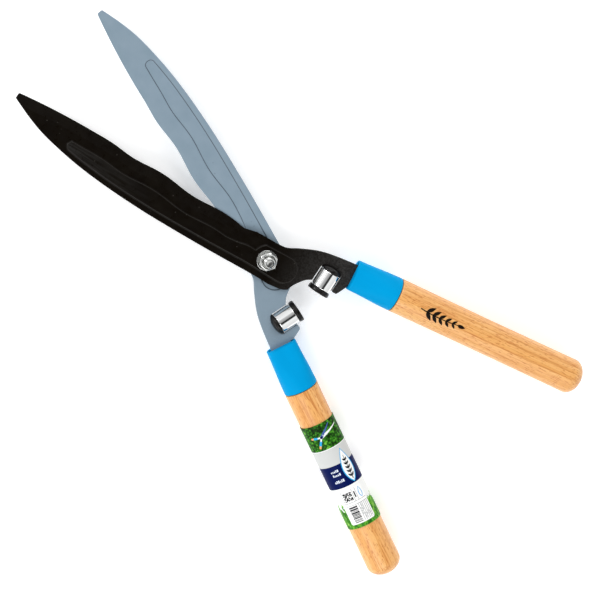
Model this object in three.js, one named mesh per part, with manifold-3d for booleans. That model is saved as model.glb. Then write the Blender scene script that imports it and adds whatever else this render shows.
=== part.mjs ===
// Hedge shears with wavy blades, standing open. Millimetres, +Z up.
//
// The origin is the centre of the pivot bolt head's outer face. +Z runs up the bolt to its nut and +Y runs
// along the centre line to the blade tips. The front half (black, on the nut's side) has its blade to -X
// and its handle to +X; the rear half (grey) is the front half flipped over about the centre line.
//
// Each half is drawn closed, in its own frame: x towards its own handle, y towards its tip, and z = 0 at
// the inner face of its blade, where the two blades slide on each other. A group then turns it open.

import * as THREE from "three";
import { mergeVertices } from "three/addons/utils/BufferGeometryUtils.js";
import Module from "manifold-3d";

const wasm = await Module();
wasm.setup();

const degrees = Math.PI / 180;

// ---- Driving dimensions -------------------------------------------------------------------------------

const fit = 0.3; // clearance between pieces that are pressed, slotted or seated together
const openTurn = 11.8 * degrees; // how far each half is turned open from closed

const sheet = 3; // thickness of the blade stampings
const bladeGap = 0.2; // between the two blades' inner faces

const bolt = { radius: 4, headHeight: 5.3, endChamfer: 0.8, pastNut: 5 };
const acrossFlats = 3.25 * bolt.radius; // bolt head and nut
const washer = { radius: 2 * bolt.radius, thickness: 1.6 };
const nut = { hexHeight: 6, collarHeight: 2, collarWall: 0.75, lip: 0.6 };
const insertRing = { wall: 0.85, height: 1.9 }; // nylon ring in the nut's collar
const spacer = { wall: 3.1, play: 0.1 }; // between the two blades, in their facing hollows

const blade = {
  reach: 235.8, // pivot to the squared-off tip
  edge: 11.95, // centre line to the mean cutting edge
  edgeStart: 28, // where the cutting edge begins, from the pivot
  straightTo: 148, // where the edge starts to curve in to the tip
  tipCurve: 640, // radius of that curve
  tipWidth: 4.7,
  tipRound: 1.6,
  root: 15.2, // half-width of the sheet beside the pivot, on the edge side
  shoulder: 14.2, // the same where the shoulder before the cutting edge begins
  shoulderFrom: 18.5, // that shoulder's distance from the pivot
  shoulderStep: 0.35,
};
const wave = { height: 1, pitch: 58, fadeFrom: 128, fadeTo: 172, frontCrest: 105, rearCrest: 142 };
const bevel = { width: 8.4, edgeThickness: 0.6, runIn: 10 };

// Spine of the blade: share of the reach, and distance from the centre line.
const spineProfile = [
  [1, -1.2],
  [0.92, 6.2],
  [0.83, 12.1],
  [0.67, 17.5],
  [0.465, 19.4],
  [0.23, 18],
  [0.01, 15.2],
  [-0.045, 15.1],
];

// Pressed panel: proud of the outer face, sunk in the inner face, from near the tip round the pivot.
const panel = {
  rise: 0.9,
  slope: 1.2,
  fromEdge: [13, 13.8], // at the pivot's end and at the tip's end
  fromSpine: [5.4, 3.6],
  tipEnd: 183, // how far the panel reaches from the pivot
  wavyFrom: 38, // where its wavy side begins
  pivotRound: 12.3, // radius of the part of its outline that goes round the bolt
  pivotRoundFrom: 32 * degrees,
  neck: 2.8, // where the wavy side meets that round, from the centre line
  neckLength: 6,
  heelRound: 11.2,
  heelCentre: new THREE.Vector2(1, -15.8),
};

const bumper = { reach: 48.3, sleeveRadius: 8.4, sleeveWall: 2.8, sleeveLength: 14.2 };
const inSleeve = { stemTo: 0.55, spigotFrom: 0.6 }; // shares of the sleeve filled from its two ends
const pad = { radius: 8.9, thickness: 3.7, round: 0.9, faceGap: 0.15 };
const seat = { radius: 8.6, rim: 1.1, domeHeight: 3.7 };
const notch = { sideGap: 0.8, cornerRadius: 3, past: 1.8 };
const finger = { tip: 6.5, thickness: 4.3, chamfer: 0.6, corner: 0.9 };

const ferrule = {
  length: 37.5,
  mouthWidth: 24.1,
  mouthHeight: 15,
  mouthSquareness: 3.6, // exponent of the mouth's rounded outline; 2 is an ellipse
  wall: 2.9,
  floor: 9,
  slotWidth: 20.8,
  slotAir: 0.6, // above and below the tang
};
const handle = {
  radius: 13.4,
  length: 162.4, // wood that shows past the ferrule
  endDepth: 10,
  waist: 0.25,
  noseRadius: 5, // the stub in the ferrule ends in a cone
  noseLength: 17,
  splay: 7.3 * degrees,
  mouth: new THREE.Vector2(26.1, -64.2), // centre of the ferrule's mouth
};
const tang = { width: 16.6, spike: 8.8, tipWidth: 2.4, length: 100, shoulder: 10.8, neckAt: 5 };

const label = { start: 28.3, length: 89, air: 0.1, paper: 0.25 }; // start is measured from the ferrule
const sticker = { start: 85, length: 29, arc: 86 * degrees, paper: 0.2, centre: 96 * degrees };

const roundSides = 32; // facets on the large round pieces
const smallSides = 24; // facets on the bolt, washers and bumpers

// ---- Places worked out from the dimensions ------------------------------------------------------------

const boltHole = bolt.radius + fit;
const rearWasherAt = bolt.headHeight;
const rearPanelAt = rearWasherAt + washer.thickness;
const rearInnerFace = rearPanelAt + panel.rise + sheet;
const frontInnerFace = rearInnerFace + bladeGap;
const frontWasherAt = frontInnerFace + sheet + panel.rise;
const nutAt = frontWasherAt + washer.thickness;
const nutTop = nutAt + nut.hexHeight + nut.collarHeight;
const insertRadius = boltHole - fit / 2 + insertRing.wall;
const grooveRadius = insertRadius + fit / 2;
const boltEnd = nutTop + bolt.pastNut;

const sleeveFrom = pad.faceGap + pad.thickness + fit;
const seatFrom = sleeveFrom + bumper.sleeveLength + fit;
const sleeveBore = bumper.sleeveRadius - bumper.sleeveWall;
const notchHalf = bumper.sleeveRadius + notch.sideGap;
const notchBottom = seatFrom + seat.rim + notch.past;
const notchNear = -bumper.reach + notchHalf;
const notchFar = -bumper.reach - notchHalf;
const stubRadius = handle.radius - ferrule.wall - fit;
const labelInner = handle.radius + label.air;
const labelOuter = labelInner + label.paper;

const handleAlong = new THREE.Vector2(Math.sin(handle.splay), -Math.cos(handle.splay));
const handleAcross = new THREE.Vector2(Math.cos(handle.splay), Math.sin(handle.splay));

/** Point at a distance along the handle's axis from the ferrule's mouth, and across it. */
function besideHandle(along, across) {
  return handle.mouth.clone().addScaledVector(handleAlong, along).addScaledVector(handleAcross, across);
}

// ---- Solids and meshes --------------------------------------------------------------------------------

function solidOf(geometry) {
  const bare = geometry.clone();
  bare.deleteAttribute("normal");
  bare.deleteAttribute("uv");
  const merged = mergeVertices(bare, 1e-4);
  return new wasm.Manifold(
    new wasm.Mesh({
      numProp: 3,
      vertProperties: merged.attributes.position.array,
      triVerts: new Uint32Array(merged.index.array),
    }),
  );
}

function geometryOf(solid) {
  const { vertProperties, triVerts } = solid.getMesh();
  const geometry = new THREE.BufferGeometry();
  geometry.setAttribute("position", new THREE.BufferAttribute(vertProperties, 3));
  geometry.setIndex(new THREE.BufferAttribute(triVerts, 1));
  geometry.computeVertexNormals();
  return geometry;
}

function piece(name, geometry, material) {
  const mesh = new THREE.Mesh(geometry, material);
  mesh.name = name;
  return mesh;
}

function extrude(shape, from, to) {
  return new THREE.ExtrudeGeometry(shape, { depth: to - from, bevelEnabled: false }).translate(0, 0, from);
}

/** Solid of revolution about Y from [radius, y] pairs. */
function turned(profile, sides) {
  return new THREE.LatheGeometry(profile.map(([r, y]) => new THREE.Vector2(r, y)), sides);
}

/** Ring about Z between two radii and two heights. */
function ring(inner, outer, from, to) {
  const profile = [[inner, from], [outer, from], [outer, to], [inner, to], [inner, from]];
  return turned(profile, smallSides).rotateX(Math.PI / 2);
}

function boxBetween(low, high) {
  const size = new THREE.Vector3().subVectors(high, low);
  const middle = new THREE.Vector3().addVectors(low, high).multiplyScalar(0.5);
  return new THREE.BoxGeometry(size.x, size.y, size.z).translate(middle.x, middle.y, middle.z);
}

/** Closed solid through rings of equal point counts, capped at both ends with a fan. */
function loft(rings) {
  const count = rings[0].length;
  const vertices = rings.flat();
  const triangles = [];
  for (let r = 0; r + 1 < rings.length; r++) {
    for (let i = 0; i < count; i++) {
      const a = r * count + i;
      const b = r * count + ((i + 1) % count);
      triangles.push(a, b, b + count, a, b + count, a + count);
    }
  }
  const lastRing = (rings.length - 1) * count;
  for (let i = 1; i + 1 < count; i++) {
    triangles.push(0, i + 1, i);
    triangles.push(lastRing, lastRing + i, lastRing + i + 1);
  }
  return new THREE.BufferGeometry().setFromPoints(vertices).setIndex(triangles);
}

const material = (color, roughness, metalness) =>
  new THREE.MeshStandardMaterial({ color, roughness, metalness });

const finishes = {
  frontCoating: material(0x1c1917, 0.45, 0.1),
  rearCoating: material(0x8a9dab, 0.45, 0.1),
  zincPlate: material(0xc9ccca, 0.3, 1),
  nylon: material(0xe6e6e0, 0.5, 0),
  chrome: material(0xe4e6e6, 0.12, 1),
  rubber: material(0x1d1b1a, 0.7, 0),
  bluePlastic: material(0x00a3e0, 0.4, 0),
  varnishedBeech: material(0xefb977, 0.4, 0),
  printedPaper: material(0xdfe3e6, 0.5, 0),
  whitePaper: material(0xf4f4f2, 0.45, 0),
};

// ---- Blade stampings ----------------------------------------------------------------------------------

/** Distance from the centre line to the cutting edge; firstCrest places the waves of one blade. */
function edgeAt(y, firstCrest) {
  const past = Math.max(0, y - blade.straightTo);
  const fade = 1 - THREE.MathUtils.smoothstep(y, wave.fadeFrom, wave.fadeTo);
  const ripple = wave.height * fade * Math.cos((2 * Math.PI * (y - firstCrest)) / wave.pitch);
  return blade.edge - (past * past) / (2 * blade.tipCurve) + ripple;
}

const spineCurve = new THREE.SplineCurve(
  spineProfile.map(([share, out]) => {
    const tipSide = edgeAt(blade.reach, 0) - blade.tipWidth;
    return new THREE.Vector2(share === 1 ? tipSide : -out, share * blade.reach);
  }),
);

/** Spine points from the tip to the heel. */
const spinePoints = spineCurve.getPoints(40);

function spineAt(y) {
  const next = spinePoints.findIndex((p) => p.y <= y);
  const [above, below] = [spinePoints[Math.max(next, 1) - 1], spinePoints[Math.max(next, 1)]];
  return THREE.MathUtils.mapLinear(y, above.y, below.y, above.x, below.x);
}

function addCurve(shape, points) {
  new THREE.SplineCurve(points).getPoints(points.length * 4).forEach((p) => shape.lineTo(p.x, p.y));
}

/** Outline of one stamping: cutting edge, tip, spine, heel, notch for the bumper, tang and arm. */
function stampingOutline(firstCrest) {
  const outline = new THREE.Shape();
  const edgeSteps = 50;
  outline.moveTo(blade.shoulder, blade.shoulderFrom);
  outline.lineTo(blade.shoulder - blade.shoulderStep, blade.shoulderFrom + blade.shoulderStep);
  for (let i = 0; i < edgeSteps; i++) {
    const y = THREE.MathUtils.lerp(blade.edgeStart, blade.reach - blade.tipRound, i / (edgeSteps - 1));
    outline.lineTo(edgeAt(y, firstCrest), y);
  }
  const edgeTip = edgeAt(blade.reach, firstCrest);
  outline.quadraticCurveTo(edgeTip, blade.reach, edgeTip - blade.tipRound, blade.reach);
  outline.lineTo(spinePoints[0].x, spinePoints[0].y);
  spinePoints.slice(1).forEach((p) => outline.lineTo(p.x, p.y));
  const heel = [new THREE.Vector2(-13.2, -22), new THREE.Vector2(-10.6, -27.2)];
  addCurve(outline, [spinePoints.at(-1), ...heel]);
  const throat = [
    [-6.2, -28.6],
    [-1.7, -31.3],
    [3, -34.9],
    [finger.tip - 0.5, notchNear],
  ];
  addCurve(outline, [heel.at(-1), ...throat.map(([x, y]) => new THREE.Vector2(x, y))]);
  addNotch(outline);
  addTang(outline);
  const arm = [
    besideHandle(0, tang.width / 2),
    new THREE.Vector2(31.4, -46),
    new THREE.Vector2(27.8, -32),
    new THREE.Vector2(21.6, -18.4),
    new THREE.Vector2(16.5, -9),
    new THREE.Vector2(blade.root, -1),
  ];
  addCurve(outline, arm);
  return outline;
}

/** Side of the notch, its bottom corners, and the finger beyond it. */
function addNotch(outline) {
  const { cornerRadius: r } = notch;
  outline.lineTo(notchBottom - r, notchNear);
  outline.absarc(notchBottom - r, notchNear - r, r, Math.PI / 2, 0, true);
  outline.absarc(notchBottom - r, notchFar + r, r, 0, -Math.PI / 2, true);
  const fingerFar = notchFar - finger.thickness;
  outline.lineTo(finger.tip + finger.chamfer, notchFar);
  outline.lineTo(finger.tip, notchFar - finger.chamfer);
  outline.lineTo(finger.tip, fingerFar + finger.corner);
  outline.lineTo(finger.tip + finger.corner, fingerFar);
}

/** Shoulder on the ferrule's mouth, then the tang that tapers to a spike in the wood. */
function addTang(outline) {
  const seated = [
    besideHandle(-fit, -tang.shoulder),
    besideHandle(-fit, -tang.width / 2),
  ];
  [...seated, ...tangPoints(0)].forEach((p) => outline.lineTo(p.x, p.y));
}

/** The tang below the mouth, from its inner to its outer side, made wider all round by some air. */
function tangPoints(air) {
  const narrow = ferrule.floor + fit;
  const half = [
    [tang.neckAt, tang.width / 2 + air],
    [narrow, tang.spike / 2 + air],
    [tang.length + air, tang.tipWidth / 2 + air],
  ];
  const inner = half.map(([along, across]) => besideHandle(along, -across));
  const outer = half.map(([along, across]) => besideHandle(along, across)).reverse();
  return [...inner, ...outer];
}

/** Outline of the pressed panel at its foot. */
function panelOutline(firstCrest) {
  const outline = new THREE.Shape();
  const { heelCentre, heelRound, pivotRound, neck, tipEnd } = panel;
  const steps = 24;
  const from = (margins, y) => THREE.MathUtils.mapLinear(y, 0, tipEnd, ...margins);
  const edgeSide = (y) => edgeAt(y, firstCrest) - from(panel.fromEdge, y);
  const spineSide = (y) => spineAt(y) + from(panel.fromSpine, y);
  const endRadius = (edgeSide(tipEnd) - spineSide(tipEnd)) / 2;
  const endAt = tipEnd - endRadius;
  outline.absarc(heelCentre.x, heelCentre.y, heelRound, -Math.PI, 0, false);
  outline.absarc(0, 0, pivotRound, panel.pivotRoundFrom, Math.acos(neck / pivotRound), false);
  outline.lineTo(neck, pivotRound + panel.neckLength);
  for (let i = 0; i <= steps; i++) {
    const y = THREE.MathUtils.lerp(panel.wavyFrom, endAt, i / steps);
    outline.lineTo(edgeSide(y), y);
  }
  const endX = (edgeSide(endAt) + spineSide(endAt)) / 2;
  const endHalf = (edgeSide(endAt) - spineSide(endAt)) / 2;
  outline.absellipse(endX, endAt, endHalf, endRadius, 0.2, Math.PI - 0.2, false, 0);
  for (let i = steps; i >= 0; i -= 2) {
    const y = THREE.MathUtils.lerp(pivotRound, endAt, i / steps);
    outline.lineTo(spineSide(y), y);
  }
  return outline;
}

/** Panel solid whose sloping side ends at the given height, with its straight side below. */
function panelBlock(outline, straightFrom, straightTo) {
  const { rise, slope } = panel;
  return new THREE.ExtrudeGeometry(outline, {
    depth: straightTo - straightFrom,
    bevelThickness: rise,
    bevelSize: slope,
    bevelOffset: -slope,
    bevelSegments: 1,
  }).translate(0, 0, straightFrom);
}

/** Wedge that takes the outer face down to the cutting edge; it rises out of the sheet at its start. */
function bevelCutter(firstCrest) {
  const stations = 50;
  const past = 3;
  const rings = [];
  for (let i = 0; i <= stations; i++) {
    const y = THREE.MathUtils.lerp(blade.edgeStart - bevel.runIn, blade.reach + past, i / stations);
    const depth = THREE.MathUtils.smoothstep(y, blade.edgeStart - bevel.runIn, blade.edgeStart + bevel.runIn);
    const drop = THREE.MathUtils.lerp(-0.3, sheet - bevel.edgeThickness, depth);
    const edge = edgeAt(Math.min(y, blade.reach), firstCrest);
    const outside = (drop * past) / bevel.width;
    rings.push([
      new THREE.Vector3(edge - bevel.width, y, sheet),
      new THREE.Vector3(edge - bevel.width, y, sheet + past),
      new THREE.Vector3(edge + past, y, sheet + past),
      new THREE.Vector3(edge + past, y, sheet - drop - outside),
    ]);
  }
  return loft(rings);
}

function stamping(firstCrest) {
  const flat = solidOf(extrude(stampingOutline(firstCrest), 0, sheet));
  const outline = panelOutline(firstCrest);
  const proud = solidOf(panelBlock(outline, sheet / 2, sheet));
  const hollow = solidOf(panelBlock(outline, -sheet, 0));
  const hole = solidOf(ring(0, boltHole, -sheet, 3 * sheet));
  return flat
    .subtract(solidOf(bevelCutter(firstCrest)))
    .add(proud)
    .subtract(hollow)
    .subtract(hole);
}

// ---- Bumpers ------------------------------------------------------------------------------------------

/** Lathe profile about Y laid along X, on the bumper's axis in the middle of the sheet. */
function onBumperAxis(geometry) {
  return geometry.rotateZ(-Math.PI / 2).translate(0, -bumper.reach, sheet / 2);
}

function bumperPad() {
  const face = pad.faceGap;
  const back = face + pad.thickness;
  const stemTo = sleeveFrom + bumper.sleeveLength * inSleeve.stemTo;
  const stem = sleeveBore - fit;
  const profile = [
    [0, face],
    [pad.radius - pad.round, face],
    [pad.radius, face + pad.round],
    [pad.radius, back - pad.round / 2],
    [pad.radius - pad.round / 2, back],
    [stem, back],
    [stem, stemTo],
    [0, stemTo],
  ];
  return onBumperAxis(turned(profile, smallSides));
}

function bumperSleeve() {
  const outer = bumper.sleeveRadius;
  const to = sleeveFrom + bumper.sleeveLength;
  const profile = [
    [sleeveBore, sleeveFrom],
    [outer, sleeveFrom],
    [outer, to],
    [sleeveBore, to],
    [sleeveBore, sleeveFrom],
  ];
  return onBumperAxis(turned(profile, smallSides));
}

/** Domed seat with a spigot in the sleeve and a slot that straddles the bottom of the notch. */
function bumperSeat() {
  const spigot = sleeveBore - fit;
  const spigotFrom = sleeveFrom + bumper.sleeveLength * inSleeve.spigotFrom;
  const domeFrom = seatFrom + seat.rim;
  const profile = [
    [0, spigotFrom],
    [spigot, spigotFrom],
    [spigot, seatFrom],
    [seat.radius, seatFrom],
  ];
  const domeSteps = 6;
  for (let i = 0; i <= domeSteps; i++) {
    const turn = (i / domeSteps) * 90 * degrees;
    const radius = i === domeSteps ? 0 : seat.radius * Math.cos(turn);
    profile.push([radius, domeFrom + seat.domeHeight * Math.sin(turn)]);
  }
  const far = domeFrom + seat.domeHeight + 1;
  const slot = boxBetween(
    new THREE.Vector3(domeFrom, -bumper.reach - notchHalf, -fit),
    new THREE.Vector3(far, -bumper.reach + notchHalf, sheet + fit),
  );
  return geometryOf(solidOf(onBumperAxis(turned(profile, smallSides))).subtract(solidOf(slot)));
}

// ---- Handles ------------------------------------------------------------------------------------------

/** Lays a piece made along +Y, from the ferrule's mouth, on the handle's axis in the middle of the sheet. */
function onHandleAxis(geometry) {
  return geometry
    .rotateZ(Math.PI + handle.splay)
    .translate(handle.mouth.x, handle.mouth.y, sheet / 2);
}

/** Socket from a flattened mouth to a round end, with a slot for the tang and a bore for the wood. */
function ferruleGeometry() {
  const sections = 8;
  const sides = roundSides;
  const rings = [];
  for (let s = 0; s <= sections; s++) {
    const share = s / sections;
    const blend = THREE.MathUtils.smoothstep(share, 0, 1);
    const halfWidth = THREE.MathUtils.lerp(ferrule.mouthWidth / 2, handle.radius, blend);
    const halfHeight = THREE.MathUtils.lerp(ferrule.mouthHeight / 2, handle.radius, blend);
    const squareness = THREE.MathUtils.lerp(2 / ferrule.mouthSquareness, 1, blend);
    const section = [];
    for (let i = 0; i < sides; i++) {
      const turn = (i / sides) * 2 * Math.PI;
      const [c, n] = [Math.cos(turn), Math.sin(turn)];
      const x = halfWidth * Math.sign(c) * Math.abs(c) ** squareness;
      const z = halfHeight * Math.sign(n) * Math.abs(n) ** squareness;
      section.push(new THREE.Vector3(x, share * ferrule.length, -z));
    }
    rings.push(section);
  }
  const socket = turned(
    [[0, ferrule.floor], [handle.noseRadius + fit, ferrule.floor],
      [stubRadius + fit, ferrule.floor + handle.noseLength], [stubRadius + fit, ferrule.length + 1],
      [0, ferrule.length + 1]],
    sides,
  );
  const slotHalf = sheet / 2 + ferrule.slotAir;
  const slot = boxBetween(
    new THREE.Vector3(-ferrule.slotWidth / 2, -1, -slotHalf),
    new THREE.Vector3(ferrule.slotWidth / 2, ferrule.floor + 1, slotHalf),
  );
  return onHandleAxis(geometryOf(solidOf(loft(rings)).subtract(solidOf(socket)).subtract(solidOf(slot))));
}

/** Turned beech handle: a stub in the ferrule, a nearly straight grip and a domed end, slotted for the tang. */
function handleGeometry() {
  const stubFrom = ferrule.floor + fit;
  const gripFrom = ferrule.length + fit;
  const gripTo = ferrule.length + handle.length;
  const domeFrom = gripTo - handle.endDepth;
  const profile = [
    [0, stubFrom],
    [handle.noseRadius, stubFrom],
    [stubRadius, stubFrom + handle.noseLength],
    [stubRadius, gripFrom],
  ];
  const gripSteps = 6;
  for (let i = 0; i <= gripSteps; i++) {
    const share = i / gripSteps;
    const radius = handle.radius - handle.waist * Math.sin(Math.PI * share);
    profile.push([radius, THREE.MathUtils.lerp(gripFrom, domeFrom, share)]);
  }
  const domeSteps = 7;
  for (let i = 1; i <= domeSteps; i++) {
    const turn = (i / domeSteps) * 90 * degrees;
    const radius = i === domeSteps ? 0 : handle.radius * Math.cos(turn);
    profile.push([radius, domeFrom + handle.endDepth * Math.sin(turn)]);
  }
  const wood = solidOf(onHandleAxis(turned(profile, roundSides)));
  const slot = solidOf(extrude(new THREE.Shape(tangPoints(fit)), -fit, sheet + fit));
  return geometryOf(wood.subtract(slot));
}

function labelGeometry() {
  const from = ferrule.length + label.start;
  const to = from + label.length;
  const profile = [[labelInner, from], [labelOuter, from], [labelOuter, to], [labelInner, to],
    [labelInner, from]];
  return onHandleAxis(turned(profile, roundSides));
}

/** Curved patch of paper on the label, bent round the handle's axis. */
function stickerGeometry() {
  const inner = labelOuter + label.air;
  const outer = inner + sticker.paper;
  const [from, to] = [sticker.centre - sticker.arc / 2, sticker.centre + sticker.arc / 2];
  const section = new THREE.Shape();
  section.absarc(0, 0, outer, from, to, false);
  section.absarc(0, 0, inner, to, from, true);
  const along = ferrule.length + sticker.start;
  const patch = new THREE.ExtrudeGeometry(section, {
    depth: sticker.length,
    bevelEnabled: false,
    curveSegments: 10,
  });
  return onHandleAxis(patch.translate(0, 0, along).rotateX(-Math.PI / 2));
}

// ---- Pivot --------------------------------------------------------------------------------------------

function hexagon(from, to) {
  const corner = acrossFlats / 2 / Math.cos(30 * degrees);
  return new THREE.CylinderGeometry(corner, corner, to - from, 6)
    .rotateX(Math.PI / 2)
    .translate(0, 0, (from + to) / 2);
}

function boltGeometry() {
  const { radius, headHeight, endChamfer } = bolt;
  const shank = turned(
    [[0, headHeight / 2], [radius, headHeight / 2], [radius, boltEnd - endChamfer],
      [radius - endChamfer, boltEnd], [0, boltEnd]],
    smallSides,
  ).rotateX(Math.PI / 2);
  return geometryOf(solidOf(hexagon(0, headHeight)).add(solidOf(shank)));
}

/** Lock nut: hexagon, round collar, and a groove in the collar that holds the nylon ring. */
function nutGeometry() {
  const hexTop = nutAt + nut.hexHeight;
  const collar = solidOf(ring(0, grooveRadius + nut.collarWall, nutAt, nutTop));
  const bore = solidOf(ring(0, boltHole, nutAt - 1, nutTop + 1));
  const groove = solidOf(ring(0, grooveRadius, hexTop - insertRing.height / 2, nutTop - nut.lip));
  return geometryOf(solidOf(hexagon(nutAt, hexTop)).add(collar).subtract(bore).subtract(groove));
}

function nutInsertGeometry() {
  const from = nutAt + nut.hexHeight - insertRing.height / 2 + fit / 2;
  return ring(boltHole - fit / 2, insertRadius, from, nutTop - nut.lip - fit / 2);
}

function spacerGeometry() {
  const middle = (rearInnerFace + frontInnerFace) / 2;
  const half = bladeGap / 2 + panel.rise - spacer.play;
  return ring(boltHole, boltHole + spacer.wall, middle - half, middle + half);
}

// ---- The whole tool -----------------------------------------------------------------------------------

/** One half of the shears, closed, in its own frame. */
function half(side, firstCrest, coating) {
  const group = new THREE.Group();
  group.add(
    piece(`${side}_blade`, geometryOf(stamping(firstCrest)), coating),
    piece(`${side}_ferrule`, ferruleGeometry(), finishes.bluePlastic),
    piece(`${side}_handle`, handleGeometry(), finishes.varnishedBeech),
    piece(`${side}_bumper_pad`, bumperPad(), finishes.rubber),
    piece(`${side}_bumper_sleeve`, bumperSleeve(), finishes.chrome),
    piece(`${side}_bumper_seat`, bumperSeat(), finishes.rubber),
  );
  return group;
}

const frontHalf = half("front", wave.frontCrest, finishes.frontCoating);
frontHalf.position.z = frontInnerFace;
frontHalf.rotation.z = openTurn;

const rearHalf = half("rear", wave.rearCrest, finishes.rearCoating);
rearHalf.add(
  piece("paper_label", labelGeometry(), finishes.printedPaper),
  piece("code_sticker", stickerGeometry(), finishes.whitePaper),
);
rearHalf.position.z = rearInnerFace;
rearHalf.rotation.set(0, Math.PI, openTurn);

const shears = new THREE.Group();
shears.add(
  frontHalf,
  rearHalf,
  piece("pivot_bolt", boltGeometry(), finishes.zincPlate),
  piece("rear_washer", ring(boltHole, washer.radius, rearWasherAt, rearPanelAt), finishes.zincPlate),
  piece("pivot_spacer", spacerGeometry(), finishes.zincPlate),
  piece("front_washer", ring(boltHole, washer.radius, frontWasherAt, nutAt), finishes.zincPlate),
  piece("pivot_nut", nutGeometry(), finishes.zincPlate),
  piece("nut_insert", nutInsertGeometry(), finishes.nylon),
);

export default shears;
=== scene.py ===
"""Looks of the hedge shears: detailed meshes, finishes, floor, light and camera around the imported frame.

Each half is drawn closed, in its own frame: x towards its own handle, y towards its blade's tip, z = 0 in
the middle of the sheet and +z to the outside of the tool. Sizes are in millimetres and meshes in metres.
"""

import logging
import math
import random
from dataclasses import dataclass
from enum import Enum
from typing import Any, Callable, Optional, Sequence

import bpy
import numpy as np
from mathutils import Matrix, Vector
from mathutils.geometry import delaunay_2d_cdt


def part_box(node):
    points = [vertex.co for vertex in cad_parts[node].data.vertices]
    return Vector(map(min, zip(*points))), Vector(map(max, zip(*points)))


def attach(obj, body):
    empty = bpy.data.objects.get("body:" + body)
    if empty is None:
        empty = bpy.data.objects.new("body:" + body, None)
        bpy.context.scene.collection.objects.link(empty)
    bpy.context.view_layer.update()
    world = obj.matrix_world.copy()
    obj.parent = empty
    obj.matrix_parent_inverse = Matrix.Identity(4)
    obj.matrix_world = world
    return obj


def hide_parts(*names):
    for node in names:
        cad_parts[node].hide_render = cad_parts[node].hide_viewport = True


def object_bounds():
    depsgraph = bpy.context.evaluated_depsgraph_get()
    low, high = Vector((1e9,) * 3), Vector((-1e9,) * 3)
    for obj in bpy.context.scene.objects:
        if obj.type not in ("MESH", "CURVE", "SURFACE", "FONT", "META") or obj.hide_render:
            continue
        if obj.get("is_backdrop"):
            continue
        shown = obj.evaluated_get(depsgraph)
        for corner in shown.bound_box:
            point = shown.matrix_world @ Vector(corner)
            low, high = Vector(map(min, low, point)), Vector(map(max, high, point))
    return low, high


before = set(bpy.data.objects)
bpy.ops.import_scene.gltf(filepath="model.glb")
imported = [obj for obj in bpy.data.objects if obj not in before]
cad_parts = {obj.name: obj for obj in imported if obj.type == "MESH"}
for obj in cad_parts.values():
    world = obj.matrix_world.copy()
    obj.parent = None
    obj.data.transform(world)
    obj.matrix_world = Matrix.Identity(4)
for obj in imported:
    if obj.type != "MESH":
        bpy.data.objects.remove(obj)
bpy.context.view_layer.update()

log = logging.getLogger("shears")

MM = 0.001
FIT = 0.3  # clearance between pieces that are seated together
SHEET = 3.0  # thickness of the blade stampings
OPEN_TURN = math.radians(11.8)  # how far each half is turned open from closed
ROUND = 128  # facets on the large round pieces
NEAR_AXIS = 0.4  # radius at which the profile of a solid round piece starts and ends
OWN_COORDS = "own_coords"  # mesh attribute with each vertex in the piece's own drawing frame
SMALL = 96  # facets on the bolt, washers and bumpers; a multiple of six for the hexagons

Point = tuple[float, float]
Point3 = tuple[float, float, float]
Mesh = tuple[list[Vector], list[tuple[int, ...]]]


# ---- Colour and nodes ---------------------------------------------------------------------------


def linear(colour: str) -> tuple[float, float, float, float]:
    """Turns an sRGB hex colour into linear light.

    Args:
        colour: "#RRGGBB".

    Returns:
        Linear red, green, blue and an alpha of one.
    """
    parts = [int(colour[i : i + 2], 16) / 255 for i in (1, 3, 5)]
    red, green, blue = [c / 12.92 if c <= 0.04045 else ((c + 0.055) / 1.055) ** 2.4 for c in parts]
    return red, green, blue, 1.0


def per_mm(size: float) -> float:
    """Texture scale whose features are about this many millimetres across, in object coordinates."""
    return 1 / (size * MM)


def set_inputs(tree: bpy.types.NodeTree, node: bpy.types.Node, inputs: dict[Any, Any]) -> None:
    """Sets or links a node's inputs.

    Args:
        tree: Node tree.
        node: The node.
        inputs: By input name or index, a number or vector, an sRGB hex colour, a socket to link from, or
            a node whose first output is linked.
    """
    for name, value in inputs.items():
        if isinstance(value, bpy.types.Node):
            value = value.outputs[0]
        if isinstance(value, bpy.types.NodeSocket):
            tree.links.new(value, node.inputs[name])
        else:
            node.inputs[name].default_value = linear(value) if isinstance(value, str) else value


def add_node(
    tree: bpy.types.NodeTree,
    kind: str,
    inputs: Optional[dict[Any, Any]] = None,
    stops: Sequence[tuple[float, str]] = (),
    **settings: Any,
) -> bpy.types.Node:
    """Adds a node with its settings and links.

    Args:
        tree: Node tree that gets the node.
        kind: Node type without its leading "ShaderNode", such as "TexNoise".
        inputs: Inputs, as set_inputs takes them.
        stops: A colour ramp's positions with their sRGB hex colours, from low to high.
        settings: Attributes of the node itself.

    Returns:
        The new node.
    """
    node = tree.nodes.new(f"ShaderNode{kind}")
    for name, value in settings.items():
        setattr(node, name, value)
    if stops:
        elements = node.color_ramp.elements
        while len(elements) < len(stops):
            elements.new(1.0)
        for element, (position, colour) in zip(elements, stops):
            element.position = position
            element.color = linear(colour)
    set_inputs(tree, node, inputs or {})
    return node


def between(low: float, high: float, to_low: float = 0.0, to_high: float = 1.0) -> dict[str, float]:
    """Inputs that map low to to_low and high to to_high, held at both ends."""
    return {"From Min": low, "From Max": high, "To Min": to_low, "To Max": to_high}


def layered(tree: bpy.types.NodeTree, base: Any, *layers: tuple[Any, Any]) -> Any:
    """Lays colours over a base colour.

    Args:
        tree: Node tree.
        base: The lowest colour: sRGB hex, node or socket.
        layers: For each layer its mask, which is one where it covers, and its colour.

    Returns:
        Socket of the colour that shows.
    """
    for mask, colour in layers:
        # A colour mix has its colours at inputs 6 and 7 and its result at output 2.
        base = add_node(tree, "Mix", {0: mask, 6: base, 7: colour}, data_type="RGBA").outputs[2]
    return base


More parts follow.
